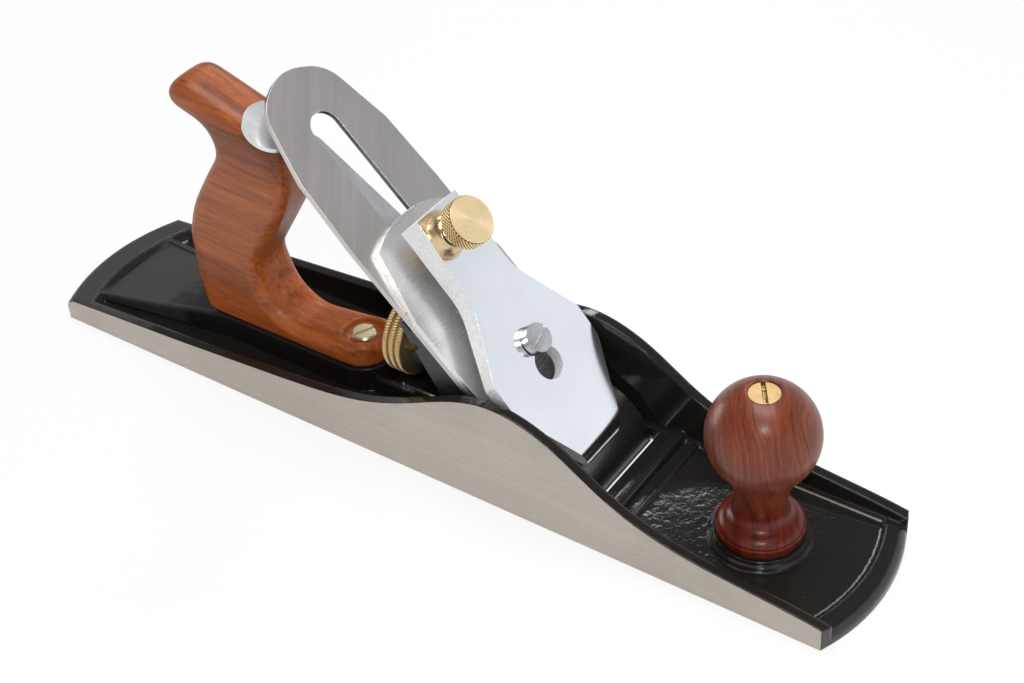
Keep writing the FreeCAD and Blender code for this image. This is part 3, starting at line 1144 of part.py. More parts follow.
def main():
    frog_screws, frog_washers = make_frog_screws()
    knob_rod, knob_nut = make_rod_and_nut(Vector(KNOB_X, 0, THREAD_FLOOR + SINK), AXIS_Z,
                                          Vector(KNOB_X, 0, KNOB_NUT_TOP))
    tote_rod, tote_nut = make_rod_and_nut(ROD_FOOT - ROD_UP * ROD_SINK, ROD_UP, ROD_TOP)
    nodes = {
        "body": make_body(),
        "frog": make_frog(),
        "frog_screws": frog_screws,
        "frog_washers": frog_washers,
        "frog_adjusting_screw": make_shift_screw(),
        "frog_adjusting_plate": make_shift_plate(),
        "frog_plate_screw": make_shift_plate_screw(),
        "blade": make_blade(),
        "chipbreaker": make_breaker(),
        "chipbreaker_screw": make_breaker_screw(),
        "lever_cap": make_lever_cap(),
        "lever_cap_screw": make_cap_screw(),
        "thumb_screw": make_thumb_screw(),
        "depth_yoke": make_yoke(),
        "yoke_pin": make_yoke_pin(),
        "adjuster_stud": make_stud(),
        "depth_wheel": make_wheel(),
        "lateral_lever": make_lateral_lever(),
        "lateral_pin": make_lateral_pin(),
        "lateral_disc": make_lateral_disc(),
        "knob": make_knob(),
        "knob_rod": knob_rod,
        "knob_nut": knob_nut,
        "tote": make_tote(),
        "tote_rod": tote_rod,
        "tote_nut": tote_nut,
        "tote_toe_screw": make_toe_screw(),
    }
    os.makedirs("parts", exist_ok=True)
    for name, shape in nodes.items():
        shape.exportStep("parts/" + name + ".step")
        box = shape.BoundBox
        print(name, len(shape.Solids), shape.isValid(), round(shape.Volume), [round(v, 1) for v in (
            box.XMin, box.XMax, box.YMin, box.YMax, box.ZMin, box.ZMax)])


main()
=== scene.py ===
import json
import math

import bmesh
import bpy
from mathutils import Matrix, Vector


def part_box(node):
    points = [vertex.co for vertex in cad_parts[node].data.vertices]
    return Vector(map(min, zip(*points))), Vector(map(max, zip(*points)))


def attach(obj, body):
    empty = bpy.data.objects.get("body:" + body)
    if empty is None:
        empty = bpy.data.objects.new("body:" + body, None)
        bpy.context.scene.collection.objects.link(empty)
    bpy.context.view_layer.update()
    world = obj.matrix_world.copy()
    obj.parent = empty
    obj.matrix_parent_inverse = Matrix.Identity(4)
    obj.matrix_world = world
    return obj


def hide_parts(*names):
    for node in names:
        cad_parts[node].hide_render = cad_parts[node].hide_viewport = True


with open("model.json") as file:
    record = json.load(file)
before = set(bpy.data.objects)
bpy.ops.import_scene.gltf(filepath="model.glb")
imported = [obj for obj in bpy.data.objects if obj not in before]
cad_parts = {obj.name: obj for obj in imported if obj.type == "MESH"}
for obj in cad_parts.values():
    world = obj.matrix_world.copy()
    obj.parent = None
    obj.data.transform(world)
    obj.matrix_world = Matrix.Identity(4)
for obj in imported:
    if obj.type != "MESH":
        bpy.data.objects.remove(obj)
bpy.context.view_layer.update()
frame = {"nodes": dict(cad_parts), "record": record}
record = frame["record"]
bodyOf = {node: body for body, nodes in record["behaviour"]["bodies"].items() for node in nodes}
print("frame loaded,", len(frame["nodes"]), "nodes")

mm = 0.001
lengthways = Vector((1, 0, 0))
sideways = Vector((0, 1, 0))
upright = Vector((0, 0, 1))

# The bed leans back at 45 degrees: upBed runs up it from the mouth, offBed is square to the iron
bedAngle = math.radians(45)
upBed = Vector((-math.cos(bedAngle), 0, math.sin(bedAngle)))
offBed = Vector((math.sin(bedAngle), 0, math.cos(bedAngle)))
acrossBed = offBed.cross(upBed)
mouthPoint = Vector((71.8 * mm, 0, 0))


# Node helpers
def addNode(tree, kind, inputs=None, **settings):
    node = tree.nodes.new(kind)
    for key, value in settings.items():
        setattr(node, key, value)
    for key, value in (inputs or {}).items():
        if isinstance(value, bpy.types.NodeSocket):
            tree.links.new(value, node.inputs[key])
        else:
            node.inputs[key].default_value = value
    return node


def mathNode(tree, operation, first, second=0.5, clamp=False):
    settings = {"operation": operation, "use_clamp": clamp}
    return addNode(tree, "ShaderNodeMath", {0: first, 1: second}, **settings).outputs[0]


def vectorNode(tree, operation, inputs, output="Vector"):
    return addNode(tree, "ShaderNodeVectorMath", inputs, operation=operation).outputs[output]


def axesOf(tree, vector):
    return addNode(tree, "ShaderNodeSeparateXYZ", {0: vector}).outputs


def vectorOf(tree, x=0.0, y=0.0, z=0.0):
    return addNode(tree, "ShaderNodeCombineXYZ", {0: x, 1: y, 2: z}).outputs[0]


def mixColour(tree, factor, first, second, blend="MIX"):
    sockets = {0: factor, 6: first, 7: second}  # 6 and 7 are the two colours
    node = addNode(tree, "ShaderNodeMix", sockets, data_type="RGBA", blend_type=blend)
    return node.outputs[2]


def ramp(tree, value, stops):
    # Each stop is a place with a colour, or with a single number for a grey
    node = addNode(tree, "ShaderNodeValToRGB", {0: value})
    while len(node.color_ramp.elements) < len(stops):
        node.color_ramp.elements.new(0.5)
    for element, (place, colour) in zip(node.color_ramp.elements, stops):
        element.position = place
        element.color = colour if isinstance(colour, tuple) else (colour, colour, colour, 1)
    return node.outputs[0]


def shaded(tree, colour, pattern, stops):
    return mixColour(tree, 1.0, colour, ramp(tree, pattern, stops), "MULTIPLY")


def remap(tree, value, source=(0.0, 1.0), result=(0.0, 1.0), curve="LINEAR"):
    inputs = {"Value": value, 1: source[0], 2: source[1], 3: result[0], 4: result[1]}
    return addNode(tree, "ShaderNodeMapRange", inputs, interpolation_type=curve).outputs[0]


def between(tree, value, low, high):
    # Rises from 0 at low to 1 at high, and high may be the smaller of the two
    return remap(tree, value, (low, high), curve="SMOOTHSTEP")


def noise(tree, coords, scale, detail=3.0, roughness=0.5, distortion=0.0, output="Fac"):
    inputs = {"Vector": coords, "Scale": scale, "Detail": detail, "Roughness": roughness,
              "Distortion": distortion}
    return addNode(tree, "ShaderNodeTexNoise", inputs).outputs[output]


def laid(along, across):
    # The turn that lays a pattern's x along one direction and its y along another
    return Matrix((along, across, along.cross(across))).to_euler()


def mapped(tree, turn=None):
    coords = addNode(tree, "ShaderNodeTexCoord").outputs["Object"]
    if turn is None:
        return coords
    return addNode(tree, "ShaderNodeMapping", {"Vector": coords, "Rotation": turn}).outputs[0]


def stretched(tree, coords, sizes):
    # Kept apart from the turn, because a single node would stretch before it turns
    return addNode(tree, "ShaderNodeMapping", {"Vector": coords, "Scale": sizes}).outputs[0]


def bump(tree, shader, height, depth, strength=0.5, rounding=None):
    inputs = {"Height": height, "Distance": depth, "Strength": strength}
    if rounding is not None:
        soft = addNode(tree, "ShaderNodeBevel", {"Radius": rounding}, samples=6)
        inputs["Normal"] = soft.outputs[0]
    tree.links.new(addNode(tree, "ShaderNodeBump", inputs).outputs[0], shader.inputs["Normal"])


def newMaterial(name, constants):
    material = bpy.data.materials.new(name)
    material.use_nodes = True
    shader = material.node_tree.nodes["Principled BSDF"]
    for socket, value in constants.items():
        shader.inputs[socket].default_value = value
    return material, material.node_tree, shader


# Ground iron of the side walls and the sole: grinding lines, specks and smoother patches
groundIronLook = {
    "colour": (0.47, 0.425, 0.372, 1), "patchColour": (0.525, 0.482, 0.43, 1), "metallic": 0.7,
    "roughness": 0.46, "patchPolish": 0.06, "patchStrength": 0.3, "patchScale": 17.0,
    "patchEdge": [(0.47, 0.0), (0.58, 1.0)],
    "lineStretch": (22, 700, 900), "lineShades": [(0.3, 0.9), (0.7, 1.02)],
    "lineDepth": 0.015 * mm, "speckScale": 1100.0, "speckShades": [(0.3, 0.9), (0.5, 1.0)],
}


def groundIron():
    look = groundIronLook
    constants = {"Metallic": look["metallic"], "Roughness": look["roughness"]}
    material, tree, shader = newMaterial("groundIron", constants)
    coords = mapped(tree)
    patch = noise(tree, coords, look["patchScale"], detail=5, roughness=0.6)
    patch = ramp(tree, patch, look["patchEdge"])
    lines = noise(tree, stretched(tree, coords, look["lineStretch"]), 1.0, detail=4, roughness=0.65)
    specks = noise(tree, coords, look["speckScale"], detail=2)
    share = mathNode(tree, "MULTIPLY", patch, look["patchStrength"])
    shade = mixColour(tree, share, look["colour"], look["patchColour"])
    shade = shaded(tree, shade, lines, look["lineShades"])
    shade = shaded(tree, shade, specks, look["speckShades"])
    tree.links.new(shade, shader.inputs["Base Color"])
    polish = mathNode(tree, "MULTIPLY", patch, look["patchPolish"])
    rough = mathNode(tree, "SUBTRACT", look["roughness"], polish)
    tree.links.new(rough, shader.inputs["Roughness"])
    bump(tree, shader, lines, look["lineDepth"])
    return material


# Black stoving enamel over a rough casting: thinner and greyer on the heel, lumpy by the knob
blackEnamelLook = {
    "colour": (0.015, 0.0134, 0.012, 1), "specular": 0.36, "coat": 0.2, "coatRoughness": 0.05,
    "roughness": 0.10, "rounding": 1.3 * mm, "depth": 0.25 * mm, "strength": 0.6,
    "peelScale": 260.0, "peel": 0.4, "swellScale": 55.0,
    "heelColour": (0.044, 0.041, 0.038, 1), "heelRoughness": 0.36, "heelRounding": 2.8 * mm,
    "heelBetween": (-104.0 * mm, -116.0 * mm), "heelAbove": 6.3 * mm,
    "wanderScale": 90.0, "wander": 30.0 * mm,
    "lumpyFrom": 86.0 * mm, "lumpyBelow": 6.2 * mm, "lumpScale": 520.0, "lumps": 0.36,
    "dustColour": (0.12, 0.115, 0.11, 1), "dustScale": 1500.0, "dust": 0.5,
    "dustEdge": [(0.76, 0.0), (0.82, 1.0)],
}


def blackEnamel():
    look = blackEnamelLook
    material, tree, shader = newMaterial("blackEnamel", {
        "Specular IOR Level": look["specular"], "Coat Weight": look["coat"],
        "Coat Roughness": look["coatRoughness"],
    })
    coords = mapped(tree)
    place = axesOf(tree, coords)
    wander = noise(tree, coords, look["wanderScale"])
    wander = mathNode(tree, "MULTIPLY", wander, look["wander"])
    heel = between(tree, mathNode(tree, "ADD", place[0], wander), *look["heelBetween"])
    above = mathNode(tree, "GREATER_THAN", place[2], look["heelAbove"])
    heel = mathNode(tree, "MULTIPLY", heel, above)
    peel = noise(tree, coords, look["peelScale"], detail=2, roughness=0.4)
    swell = noise(tree, coords, look["swellScale"], detail=2)
    skin = mathNode(tree, "ADD", mathNode(tree, "MULTIPLY", peel, look["peel"]), swell)
    lumps = noise(tree, coords, look["lumpScale"], detail=2, roughness=0.55, distortion=0.6)
    ahead = mathNode(tree, "GREATER_THAN", place[0], look["lumpyFrom"])
    below = mathNode(tree, "LESS_THAN", place[2], look["lumpyBelow"])
    lumpy = mathNode(tree, "MULTIPLY", mathNode(tree, "MULTIPLY", ahead, below), look["lumps"])
    height = mathNode(tree, "ADD", skin, mathNode(tree, "MULTIPLY", lumps, lumpy))
    rounding = remap(tree, heel, result=(look["rounding"], look["heelRounding"]))
    bump(tree, shader, height, look["depth"], look["strength"], rounding)
    dust = ramp(tree, noise(tree, coords, look["dustScale"], detail=2), look["dustEdge"])
    tint = mixColour(tree, heel, look["colour"], look["heelColour"])
    share = mathNode(tree, "MULTIPLY", dust, look["dust"])
    tint = mixColour(tree, share, tint, look["dustColour"])
    tree.links.new(tint, shader.inputs["Base Color"])
    rough = remap(tree, heel, result=(look["roughness"], look["heelRoughness"]))
    tree.links.new(rough, shader.inputs["Roughness"])
    return material


# Oiled and lacquered hardwood: fine streaks, short dark pores and slow clouds
woodLook = {
    "specular": 0.3, "poresBetween": (0.33, 0.45), "cloudShades": [(0.3, 0.8), (0.7, 1.18)],
}


def lacqueredWood(name, look):
    material, tree, shader = newMaterial(name, {
        "Roughness": look["roughness"], "Coat Weight": look["coat"],
        "Coat Roughness": look["coatRoughness"], "Specular IOR Level": woodLook["specular"],
    })
    coords = mapped(tree)
    straight = mapped(tree, look["grainTurn"])
    drift = noise(tree, straight, look["warpScale"], detail=2, output="Color")
    drift = vectorNode(tree, "SUBTRACT", {0: drift, 1: (0.5, 0.5, 0.5)})
    drift = vectorNode(tree, "SCALE", {0: drift, "Scale": look["warp"]})
    grain = vectorNode(tree, "ADD", {0: straight, 1: drift})
    streaks = noise(tree, stretched(tree, grain, look["streakStretch"]), 1.0,
                    detail=4, roughness=0.55, distortion=look["swirl"])
    pores = noise(tree, stretched(tree, grain, look["poreStretch"]), 1.0, roughness=0.6)
    figure = noise(tree, stretched(tree, grain, look["figureStretch"]), 1.0,
                   distortion=look["swirl"])
    cloud = noise(tree, coords, look["cloudScale"], detail=2)
    dark, clear = woodLook["poresBetween"]
    wood = ramp(tree, streaks, look["colours"])
    wood = shaded(tree, wood, pores, [(dark, look["poreShade"]), (clear, 1.0)])
    wood = shaded(tree, wood, figure, look["figureShades"])
    wood = shaded(tree, wood, cloud, woodLook["cloudShades"])
    # By height: the handle lighter and warmer low down, the knob's foot redder
    heightTinted = mixColour(tree, 1.0, wood, look["heightTint"], "MULTIPLY")
    share = between(tree, axesOf(tree, coords)[2], *look["heightTintBetween"])
    wood = mixColour(tree, share, wood, heightTinted)
    tree.links.new(wood, shader.inputs["Base Color"])
    bump(tree, shader, pores, look["poreDepth"])
    return material


toteWoodLook = {
    "roughness": 0.44, "coat": 0.16, "coatRoughness": 0.22,
    "grainTurn": laid(Vector((0.9976, 0, -0.07)), sideways), "warpScale": 22.0, "warp": 3.0 * mm,
    "streakStretch": (20, 620, 560), "figureStretch": (8, 120, 130), "swirl": 0.3,
    "poreStretch": (170, 2600, 2500), "poreShade": 0.58, "poreDepth": 0.02 * mm,
    "cloudScale": 17.0,
    "colours": [(0.25, (0.185, 0.038, 0.009, 1)), (0.45, (0.285, 0.070, 0.016, 1)),
                (0.6, (0.335, 0.088, 0.021, 1)), (0.8, (0.40, 0.116, 0.030, 1))],
    "figureShades": [(0.36, 0.66), (0.46, 0.96), (0.56, 1.05), (0.7, 1.18)],
    "heightTint": (1.5, 1.42, 1.25, 1), "heightTintBetween": (62.0 * mm, 24.0 * mm),
}
knobGrain = Vector((-0.38, 0.30, 0.87)).normalized()
knobRings = knobGrain.cross(Vector((0.5, -0.86, 0))).normalized()
knobWoodLook = {
    "roughness": 0.38, "coat": 0.16, "coatRoughness": 0.2,
    "grainTurn": laid(knobGrain, knobRings), "warpScale": 38.0, "warp": 10.0 * mm,
    "streakStretch": (34, 900, 150), "figureStretch": (16, 900, 60), "swirl": 0.35,
    "poreStretch": (200, 2600, 1200), "poreShade": 0.6, "poreDepth": 0.012 * mm,
    "cloudScale": 30.0,
    "colours": [(0.25, (0.095, 0.018, 0.008, 1)), (0.45, (0.16, 0.032, 0.013, 1)),
                (0.6, (0.195, 0.043, 0.017, 1)), (0.8, (0.25, 0.065, 0.026, 1))],
    "figureShades": [(0.37, 0.6), (0.46, 0.92), (0.56, 1.0), (0.7, 1.1)],
    "heightTint": (0.95, 0.5, 0.42, 1), "heightTintBetween": (30.0 * mm, 17.0 * mm),
}


# Steel with fine brush lines laid in one direction, between broader bands and slow clouds
brushLook = {
    "lineShare": 0.62, "bandShare": 0.38, "bandStretch": 0.14, "toneBetween": (0.36, 0.62),
    "cloudBetween": (0.35, 0.65), "roughBetween": (0.3, 0.7), "roughSpread": (0.93, 1.07),
}


def brushedSteel(name, look):
    constants = {"Metallic": look.get("metallic", 1.0), "Specular IOR Level": 0.5}
    material, tree, shader = newMaterial(name, constants)
    coords = mapped(tree)
    turned = mapped(tree, look["turn"])
    bandStretch = tuple(size * brushLook["bandStretch"] for size in look["stretch"])
    lines = noise(tree, stretched(tree, turned, look["stretch"]), 1.0, detail=4, roughness=0.7)
    bands = noise(tree, stretched(tree, turned, bandStretch), 1.0, detail=2)
    cloud = noise(tree, coords, look["cloudScale"])
    shade = mathNode(tree, "ADD", mathNode(tree, "MULTIPLY", lines, brushLook["lineShare"]),
                     mathNode(tree, "MULTIPLY", bands, brushLook["bandShare"]))
    low, high = brushLook["toneBetween"]
    tinted = shaded(tree, look["colour"], shade, [(low, 1 - look["contrast"]), (high, 1.0)])
    low, high = brushLook["cloudBetween"]
    tinted = shaded(tree, tinted, cloud, [(low, 1 - look["cloud"]), (high, 1.0)])
    if "paintedShadeBetween" in look:
        # Painted shade: darker towards the mouth, by the way up the bed, for the dark throat walls
        # the cap iron mirrors
        spot = vectorNode(tree, "SUBTRACT", {0: coords, 1: mouthPoint})
        along = vectorNode(tree, "DOT_PRODUCT", {0: spot, 1: upBed}, "Value")
        paintedThroatShade = mixColour(tree, 1.0, tinted, (look["shade"],) * 3 + (1,), "MULTIPLY")
        tinted = mixColour(tree, between(tree, along, *look["paintedShadeBetween"]), tinted, paintedThroatShade)
    tree.links.new(tinted, shader.inputs["Base Color"])
    spread = [look["roughness"] * share for share in brushLook["roughSpread"]]
    rough = remap(tree, shade, brushLook["roughBetween"], spread)
    tree.links.new(rough, shader.inputs["Roughness"])
    bump(tree, shader, lines, look["bump"])
    return material


brushSlant = math.radians(47)
ironBrush = upBed * math.cos(brushSlant) + sideways * math.sin(brushSlant)
ironLook = {
    "colour": (0.655, 0.62, 0.60, 1), "turn": laid(ironBrush, offBed.cross(ironBrush)),
    "stretch": (26, 2200, 300), "contrast": 0.12, "cloudScale": 16.0, "cloud": 0.08,
    "roughness": 0.38, "bump": 0.01 * mm,
}
breakerLook = {
    "colour": (0.85, 0.845, 0.84, 1), "turn": laid(acrossBed, upBed),
    "stretch": (60, 900, 300), "contrast": 0.07, "cloudScale": 40.0, "cloud": 0.18,
    "roughness": 0.28, "bump": 0.002 * mm, "metallic": 0.92,
    # Painted shade: the cap iron darker towards the mouth, for the dark throat walls it mirrors
    "shade": 0.16, "paintedShadeBetween": (52.0 * mm, 34.0 * mm),
}
capFaceLook = {
    "colour": (0.88, 0.895, 0.92, 1), "turn": laid(upBed, acrossBed),
    "stretch": (40, 260, 260), "contrast": 0.03, "cloudScale": 30.0, "cloud": 0.07,
    "roughness": 0.15, "bump": 0.002 * mm,
}
capSideLook = {
    "colour": (0.97, 0.965, 0.96, 1), "turn": laid(upBed, acrossBed),
    "stretch": (500, 1600, 1600), "contrast": 0.12, "cloudScale": 1300.0, "cloud": 0.16,
    "roughness": 0.5, "bump": 0.05 * mm, "metallic": 0.25,
}
screwSteelLook = {
    "colour": (0.82, 0.82, 0.825, 1), "turn": (0, 0, 0),
    "stretch": (400, 400, 400), "contrast": 0.12, "cloudScale": 120.0, "cloud": 0.25,
    "roughness": 0.26, "bump": 0.01 * mm,
}
leverLook = {
    "colour": (0.84, 0.85, 0.87, 1), "turn": laid(upBed, acrossBed),
    "stretch": (90, 500, 500), "contrast": 0.1, "cloudScale": 60.0, "cloud": 0.2,
    "roughness": 0.2, "bump": 0.008 * mm, "metallic": 0.78,
}
# Dark steel: the yoke's own finish, and painted shade on the iron's slot walls
darkSteelAndSlotShadeLook = {
    "colour": (0.20, 0.20, 0.20, 1), "turn": (0, 0, 0),
    "stretch": (300, 300, 300), "contrast": 0.25, "cloudScale": 90.0, "cloud": 0.4,
    "roughness": 0.42, "bump": 0.02 * mm,
}


# Brass off the lathe: where polish lines run round a flat end, it shows a fan of light
brassLook = {
    "tarnishScale": 110.0, "tarnishBetween": (0.3, 0.62), "fineScale": 1500.0,
    "fineShades": [(0.3, 0.9), (0.6, 1.0)], "fineDepth": 0.004 * mm, "lineTurn": 0.25,
}


def turnedBrass(name, look):
    lines = look.get("lines", 0.0)
    material, tree, shader = newMaterial(name, {
        "Metallic": look["metallic"], "Roughness": look["roughness"],
        "Anisotropic": lines, "Anisotropic Rotation": brassLook["lineTurn"],
    })
    coords = mapped(tree)
    tarnish = noise(tree, coords, brassLook["tarnishScale"], detail=4, roughness=0.6)
    fine = noise(tree, coords, brassLook["fineScale"], detail=2)
    low, high = brassLook["tarnishBetween"]
    metal = ramp(tree, tarnish, [(low, look["dark"]), (high, look["bright"])])
    metal = shaded(tree, metal, fine, brassLook["fineShades"])
    tree.links.new(metal, shader.inputs["Base Color"])
    if lines > 0:
        tangent = addNode(tree, "ShaderNodeTangent", direction_type="UV_MAP", uv_map="turning")
        tree.links.new(tangent.outputs[0], shader.inputs["Tangent"])
    bump(tree, shader, fine, brassLook["fineDepth"])
    return material


brassFaceLook = {
    "metallic": 0.62, "roughness": 0.3, "lines": 0.85,
    "bright": (1.0, 0.79, 0.46, 1), "dark": (0.99, 0.76, 0.43, 1),
}
brassSideLook = {
    "metallic": 0.9, "roughness": 0.27,
    "bright": (0.97, 0.75, 0.43, 1), "dark": (0.86, 0.62, 0.31, 1),
}
brassToothLook = {
    "metallic": 0.5, "roughness": 0.3,
    "bright": (1.0, 0.78, 0.41, 1), "dark": (0.98, 0.70, 0.33, 1),
}
# Painted shade: the ground between the thumb screw's teeth, in a dark brass
grooveShadeBrassLook = {
    "metallic": 0.8, "roughness": 0.45,
    "bright": (0.24, 0.13, 0.045, 1), "dark": (0.13, 0.07, 0.025, 1),
}
# Darker brass: the knob nut's own tone, and painted shade on the depth wheel's knurl ground
darkBrassAndKnurlShadeLook = {
    "metallic": 0.8, "roughness": 0.36,
    "bright": (0.78, 0.55, 0.27, 1), "dark": (0.58, 0.38, 0.16, 1),
}
paleBrassLook = {
    "metallic": 0.9, "roughness": 0.26,
    "bright": (0.90, 0.80, 0.54, 1), "dark": (0.74, 0.64, 0.41, 1),
}


# Duller enamel of the frog
darkEnamelLook = {
    "roughness": 0.35, "specular": 0.45, "grainScale": 420.0, "grainDepth": 0.1 * mm,
    "colours": [(0.3, (0.012, 0.012, 0.013, 1)), (0.7, (0.03, 0.03, 0.031, 1))],
}


def darkEnamel():
    look = darkEnamelLook
    constants = {"Roughness": look["roughness"], "Specular IOR Level": look["specular"]}
    material, tree, shader = newMaterial("darkEnamel", constants)
    grain = noise(tree, mapped(tree), look["grainScale"])
    tree.links.new(ramp(tree, grain, look["colours"]), shader.inputs["Base Color"])
    bump(tree, shader, grain, look["grainDepth"])
    return material


materials = {
    "iron": groundIron(),
    "enamel": blackEnamel(),
    "frog": darkEnamel(),
    "tote": lacqueredWood("toteWood", toteWoodLook),
    "knob": lacqueredWood("knobWood", knobWoodLook),
    "blade": brushedSteel("bladeSteel", ironLook),
    "breaker": brushedSteel("breakerSteel", breakerLook),
    "capFace": brushedSteel("capFacePlating", capFaceLook),
    "capSide": brushedSteel("capSidePlating", capSideLook),
    "screw": brushedSteel("screwSteel", screwSteelLook),
    "lever": brushedSteel("leverPlating", leverLook),
    "dark": brushedSteel("darkSteelAndSlotShade", darkSteelAndSlotShadeLook),
    "brassFace": turnedBrass("brassFace", brassFaceLook),
    "brassSide": turnedBrass("brassSide", brassSideLook),
    "brassTooth": turnedBrass("brassTooth", brassToothLook),
    "grooveShadeBrass": turnedBrass("grooveShadeBrass", grooveShadeBrassLook),
    "darkBrassAndKnurlShade": turnedBrass("darkBrassAndKnurlShade", darkBrassAndKnurlShadeLook),
    "paleBrass": turnedBrass("paleBrass", paleBrassLook),
}
print("materials made,", len(materials))

# Angles in degrees: an edge stays hard where its faces meet at more than easedAngle or turnedAngle
meshLook = {
    "weld": 0.002 * mm, "flatAngle": 0.8, "easedAngle": 34.0, "turnedAngle": 32.0,
    "turnedWeld": 0.001 * mm, "turnedSliver": 0.0001 * mm,
}


# Mesh helpers
def newObject(name, data):
    item = bpy.data.objects.new(name, data)
    bpy.context.scene.collection.objects.link(item)
    return item


def finishPiece(piece, node):
    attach(piece, bodyOf[node])
    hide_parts(node)


def bakedObject(piece):
    # Puts the modifiers' result into the mesh
    graph = bpy.context.evaluated_depsgraph_get()
    mesh = bpy.data.meshes.new_from_object(piece.evaluated_get(graph))
    piece.modifiers.clear()
    piece.data = mesh


def dressed(piece, surface):
    piece.data.materials.clear()
    piece.data.materials.append(surface)


def secondSurface(piece, surface, takes):
    # Gives a second surface to the faces that the rule takes
    piece.data.materials.append(surface)
    for face in piece.data.polygons:
        if takes(face):
            face.material_index = 1


def stoodUp(piece, centre, axis):
    # From the origin and its z axis to the piece's own place
    turn = upright.rotation_difference(axis).to_matrix().to_4x4()
    piece.data.transform(Matrix.Translation(centre) @ turn)


def mergedCopy(name, node, flatAngle=meshLook["flatAngle"]):
    # A welded copy of a part's mesh, with its flat faces joined up
    work = bmesh.new()
    work.from_mesh(frame["nodes"][node].data)
    bmesh.ops.remove_doubles(work, verts=work.verts, dist=meshLook["weld"])
    bmesh.ops.dissolve_limit(work, angle_limit=math.radians(flatAngle), verts=work.verts,
                             edges=work.edges)
    mesh = bpy.data.meshes.new(name)
    work.to_mesh(mesh)
    work.free()
    return newObject(name, mesh)


def easedCopy(name, node, surface, edge, segments=2, slotTurn=0.0):
    # A copy with its hard edges eased by a small bevel, and its flat faces kept flat to the eye
    piece = mergedCopy(name, node)
    if slotTurn:
        low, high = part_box(node)
        middle = Vector(((low[0] + high[0]) / 2, (low[1] + high[1]) / 2, 0))
        turn = Matrix.Rotation(math.radians(slotTurn), 4, "Z")
        piece.data.transform(Matrix.Translation(middle) @ turn @ Matrix.Translation(-middle))
    hard = math.radians(meshLook["easedAngle"])
    piece.data.shade_smooth()
    piece.data.set_sharp_from_angle(angle=hard)
    bevel = piece.modifiers.new("easedEdges", "BEVEL")
    bevel.width = edge
    bevel.segments = segments
    bevel.limit_method = "ANGLE"
    bevel.angle_limit = hard
    bevel.use_clamp_overlap = True
    even = piece.modifiers.new("evenFaces", "WEIGHTED_NORMAL")
    even.keep_sharp = True
    bakedObject(piece)
    dressed(piece, surface)
    finishPiece(piece, node)
    return piece


def newTree(name, sockets):
    tree = bpy.data.node_groups.new(name, "GeometryNodeTree")
    for label, kind in sockets:
        tree.interface.new_socket(label, in_out="INPUT", socket_type="NodeSocket" + kind)
    tree.interface.new_socket("Skin", in_out="OUTPUT", socket_type="NodeSocketGeometry")
    return tree, tree.nodes.new("NodeGroupInput").outputs


def endTree(tree, geometry, surface):
    real = addNode(tree, "GeometryNodeRealizeInstances", {0: geometry})
    inputs = {"Geometry": real.outputs[0], "Material": surface}
    coated = addNode(tree, "GeometryNodeSetMaterial", inputs)
    tree.links.new(coated.outputs[0], tree.nodes.new("NodeGroupOutput").inputs[0])
    return tree


def circlePoint(tree, share, radius):
    # The x and y of a point on a circle, at a share of the way round
    angle = mathNode(tree, "MULTIPLY", share, 2 * math.pi)
    return [mathNode(tree, "MULTIPLY", mathNode(tree, wave, angle), radius)
            for wave in ("COSINE", "SINE")]


# Lathe: takes a mesh line of (radius, 0, height) points and turns it into a closed skin
def latheTree():
    tree, given = newTree("lathe", (
        ("Profile", "Geometry"), ("Points", "Int"), ("Steps", "Int"), ("Surface", "Material"),
    ))
    grid = addNode(tree, "GeometryNodeMeshGrid", {
        "Size X": 1.0, "Size Y": 1.0, "Vertices X": given["Points"],
        "Vertices Y": mathNode(tree, "ADD", given["Steps"], 1.0),
    })
    position = addNode(tree, "GeometryNodeInputPosition").outputs[0]
    spot = axesOf(tree, position)
    along = mathNode(tree, "ADD", spot[0], 0.5)
    turnShare = mathNode(tree, "ADD", spot[1], 0.5)
    sheet = {"Geometry": grid.outputs[0], "Name": "turning",
             "Value": vectorOf(tree, turnShare, along)}
    named = addNode(tree, "GeometryNodeStoreNamedAttribute", sheet, data_type="FLOAT2",
                    domain="CORNER")
    last = mathNode(tree, "SUBTRACT", given["Points"], 1.0)
    number = mathNode(tree, "ROUND", mathNode(tree, "MULTIPLY", along, last))
    wanted = {"Geometry": given["Profile"], "Value": position, "Index": number}
    reading = addNode(tree, "GeometryNodeSampleIndex", wanted, data_type="FLOAT_VECTOR",
                      domain="POINT")
    point = axesOf(tree, reading.outputs[0])
    x, y = circlePoint(tree, turnShare, point[0])
    turned = addNode(tree, "GeometryNodeSetPosition", {
        "Geometry": named.outputs[0], "Position": vectorOf(tree, x, y, point[2]),
    })
    closed = addNode(tree, "GeometryNodeMergeByDistance", {
        "Geometry": turned.outputs[0], "Distance": meshLook["turnedWeld"],
    })
    return endTree(tree, closed.outputs[0], given["Surface"])


def withTree(piece, tree, wanted):
    # Runs a geometry nodes tree on a piece and keeps the result as a plain mesh of one surface
    modifier = piece.modifiers.new(tree.name, "NODES")
    modifier.node_group = tree
    for item in tree.interface.items_tree:
        if item.in_out == "INPUT" and item.name in wanted:
            modifier[item.identifier] = wanted[item.name]
    bakedObject(piece)
    dressed(piece, wanted["Surface"])
    for face in piece.data.polygons:
        face.material_index = 0
    return piece


lathe = latheTree()


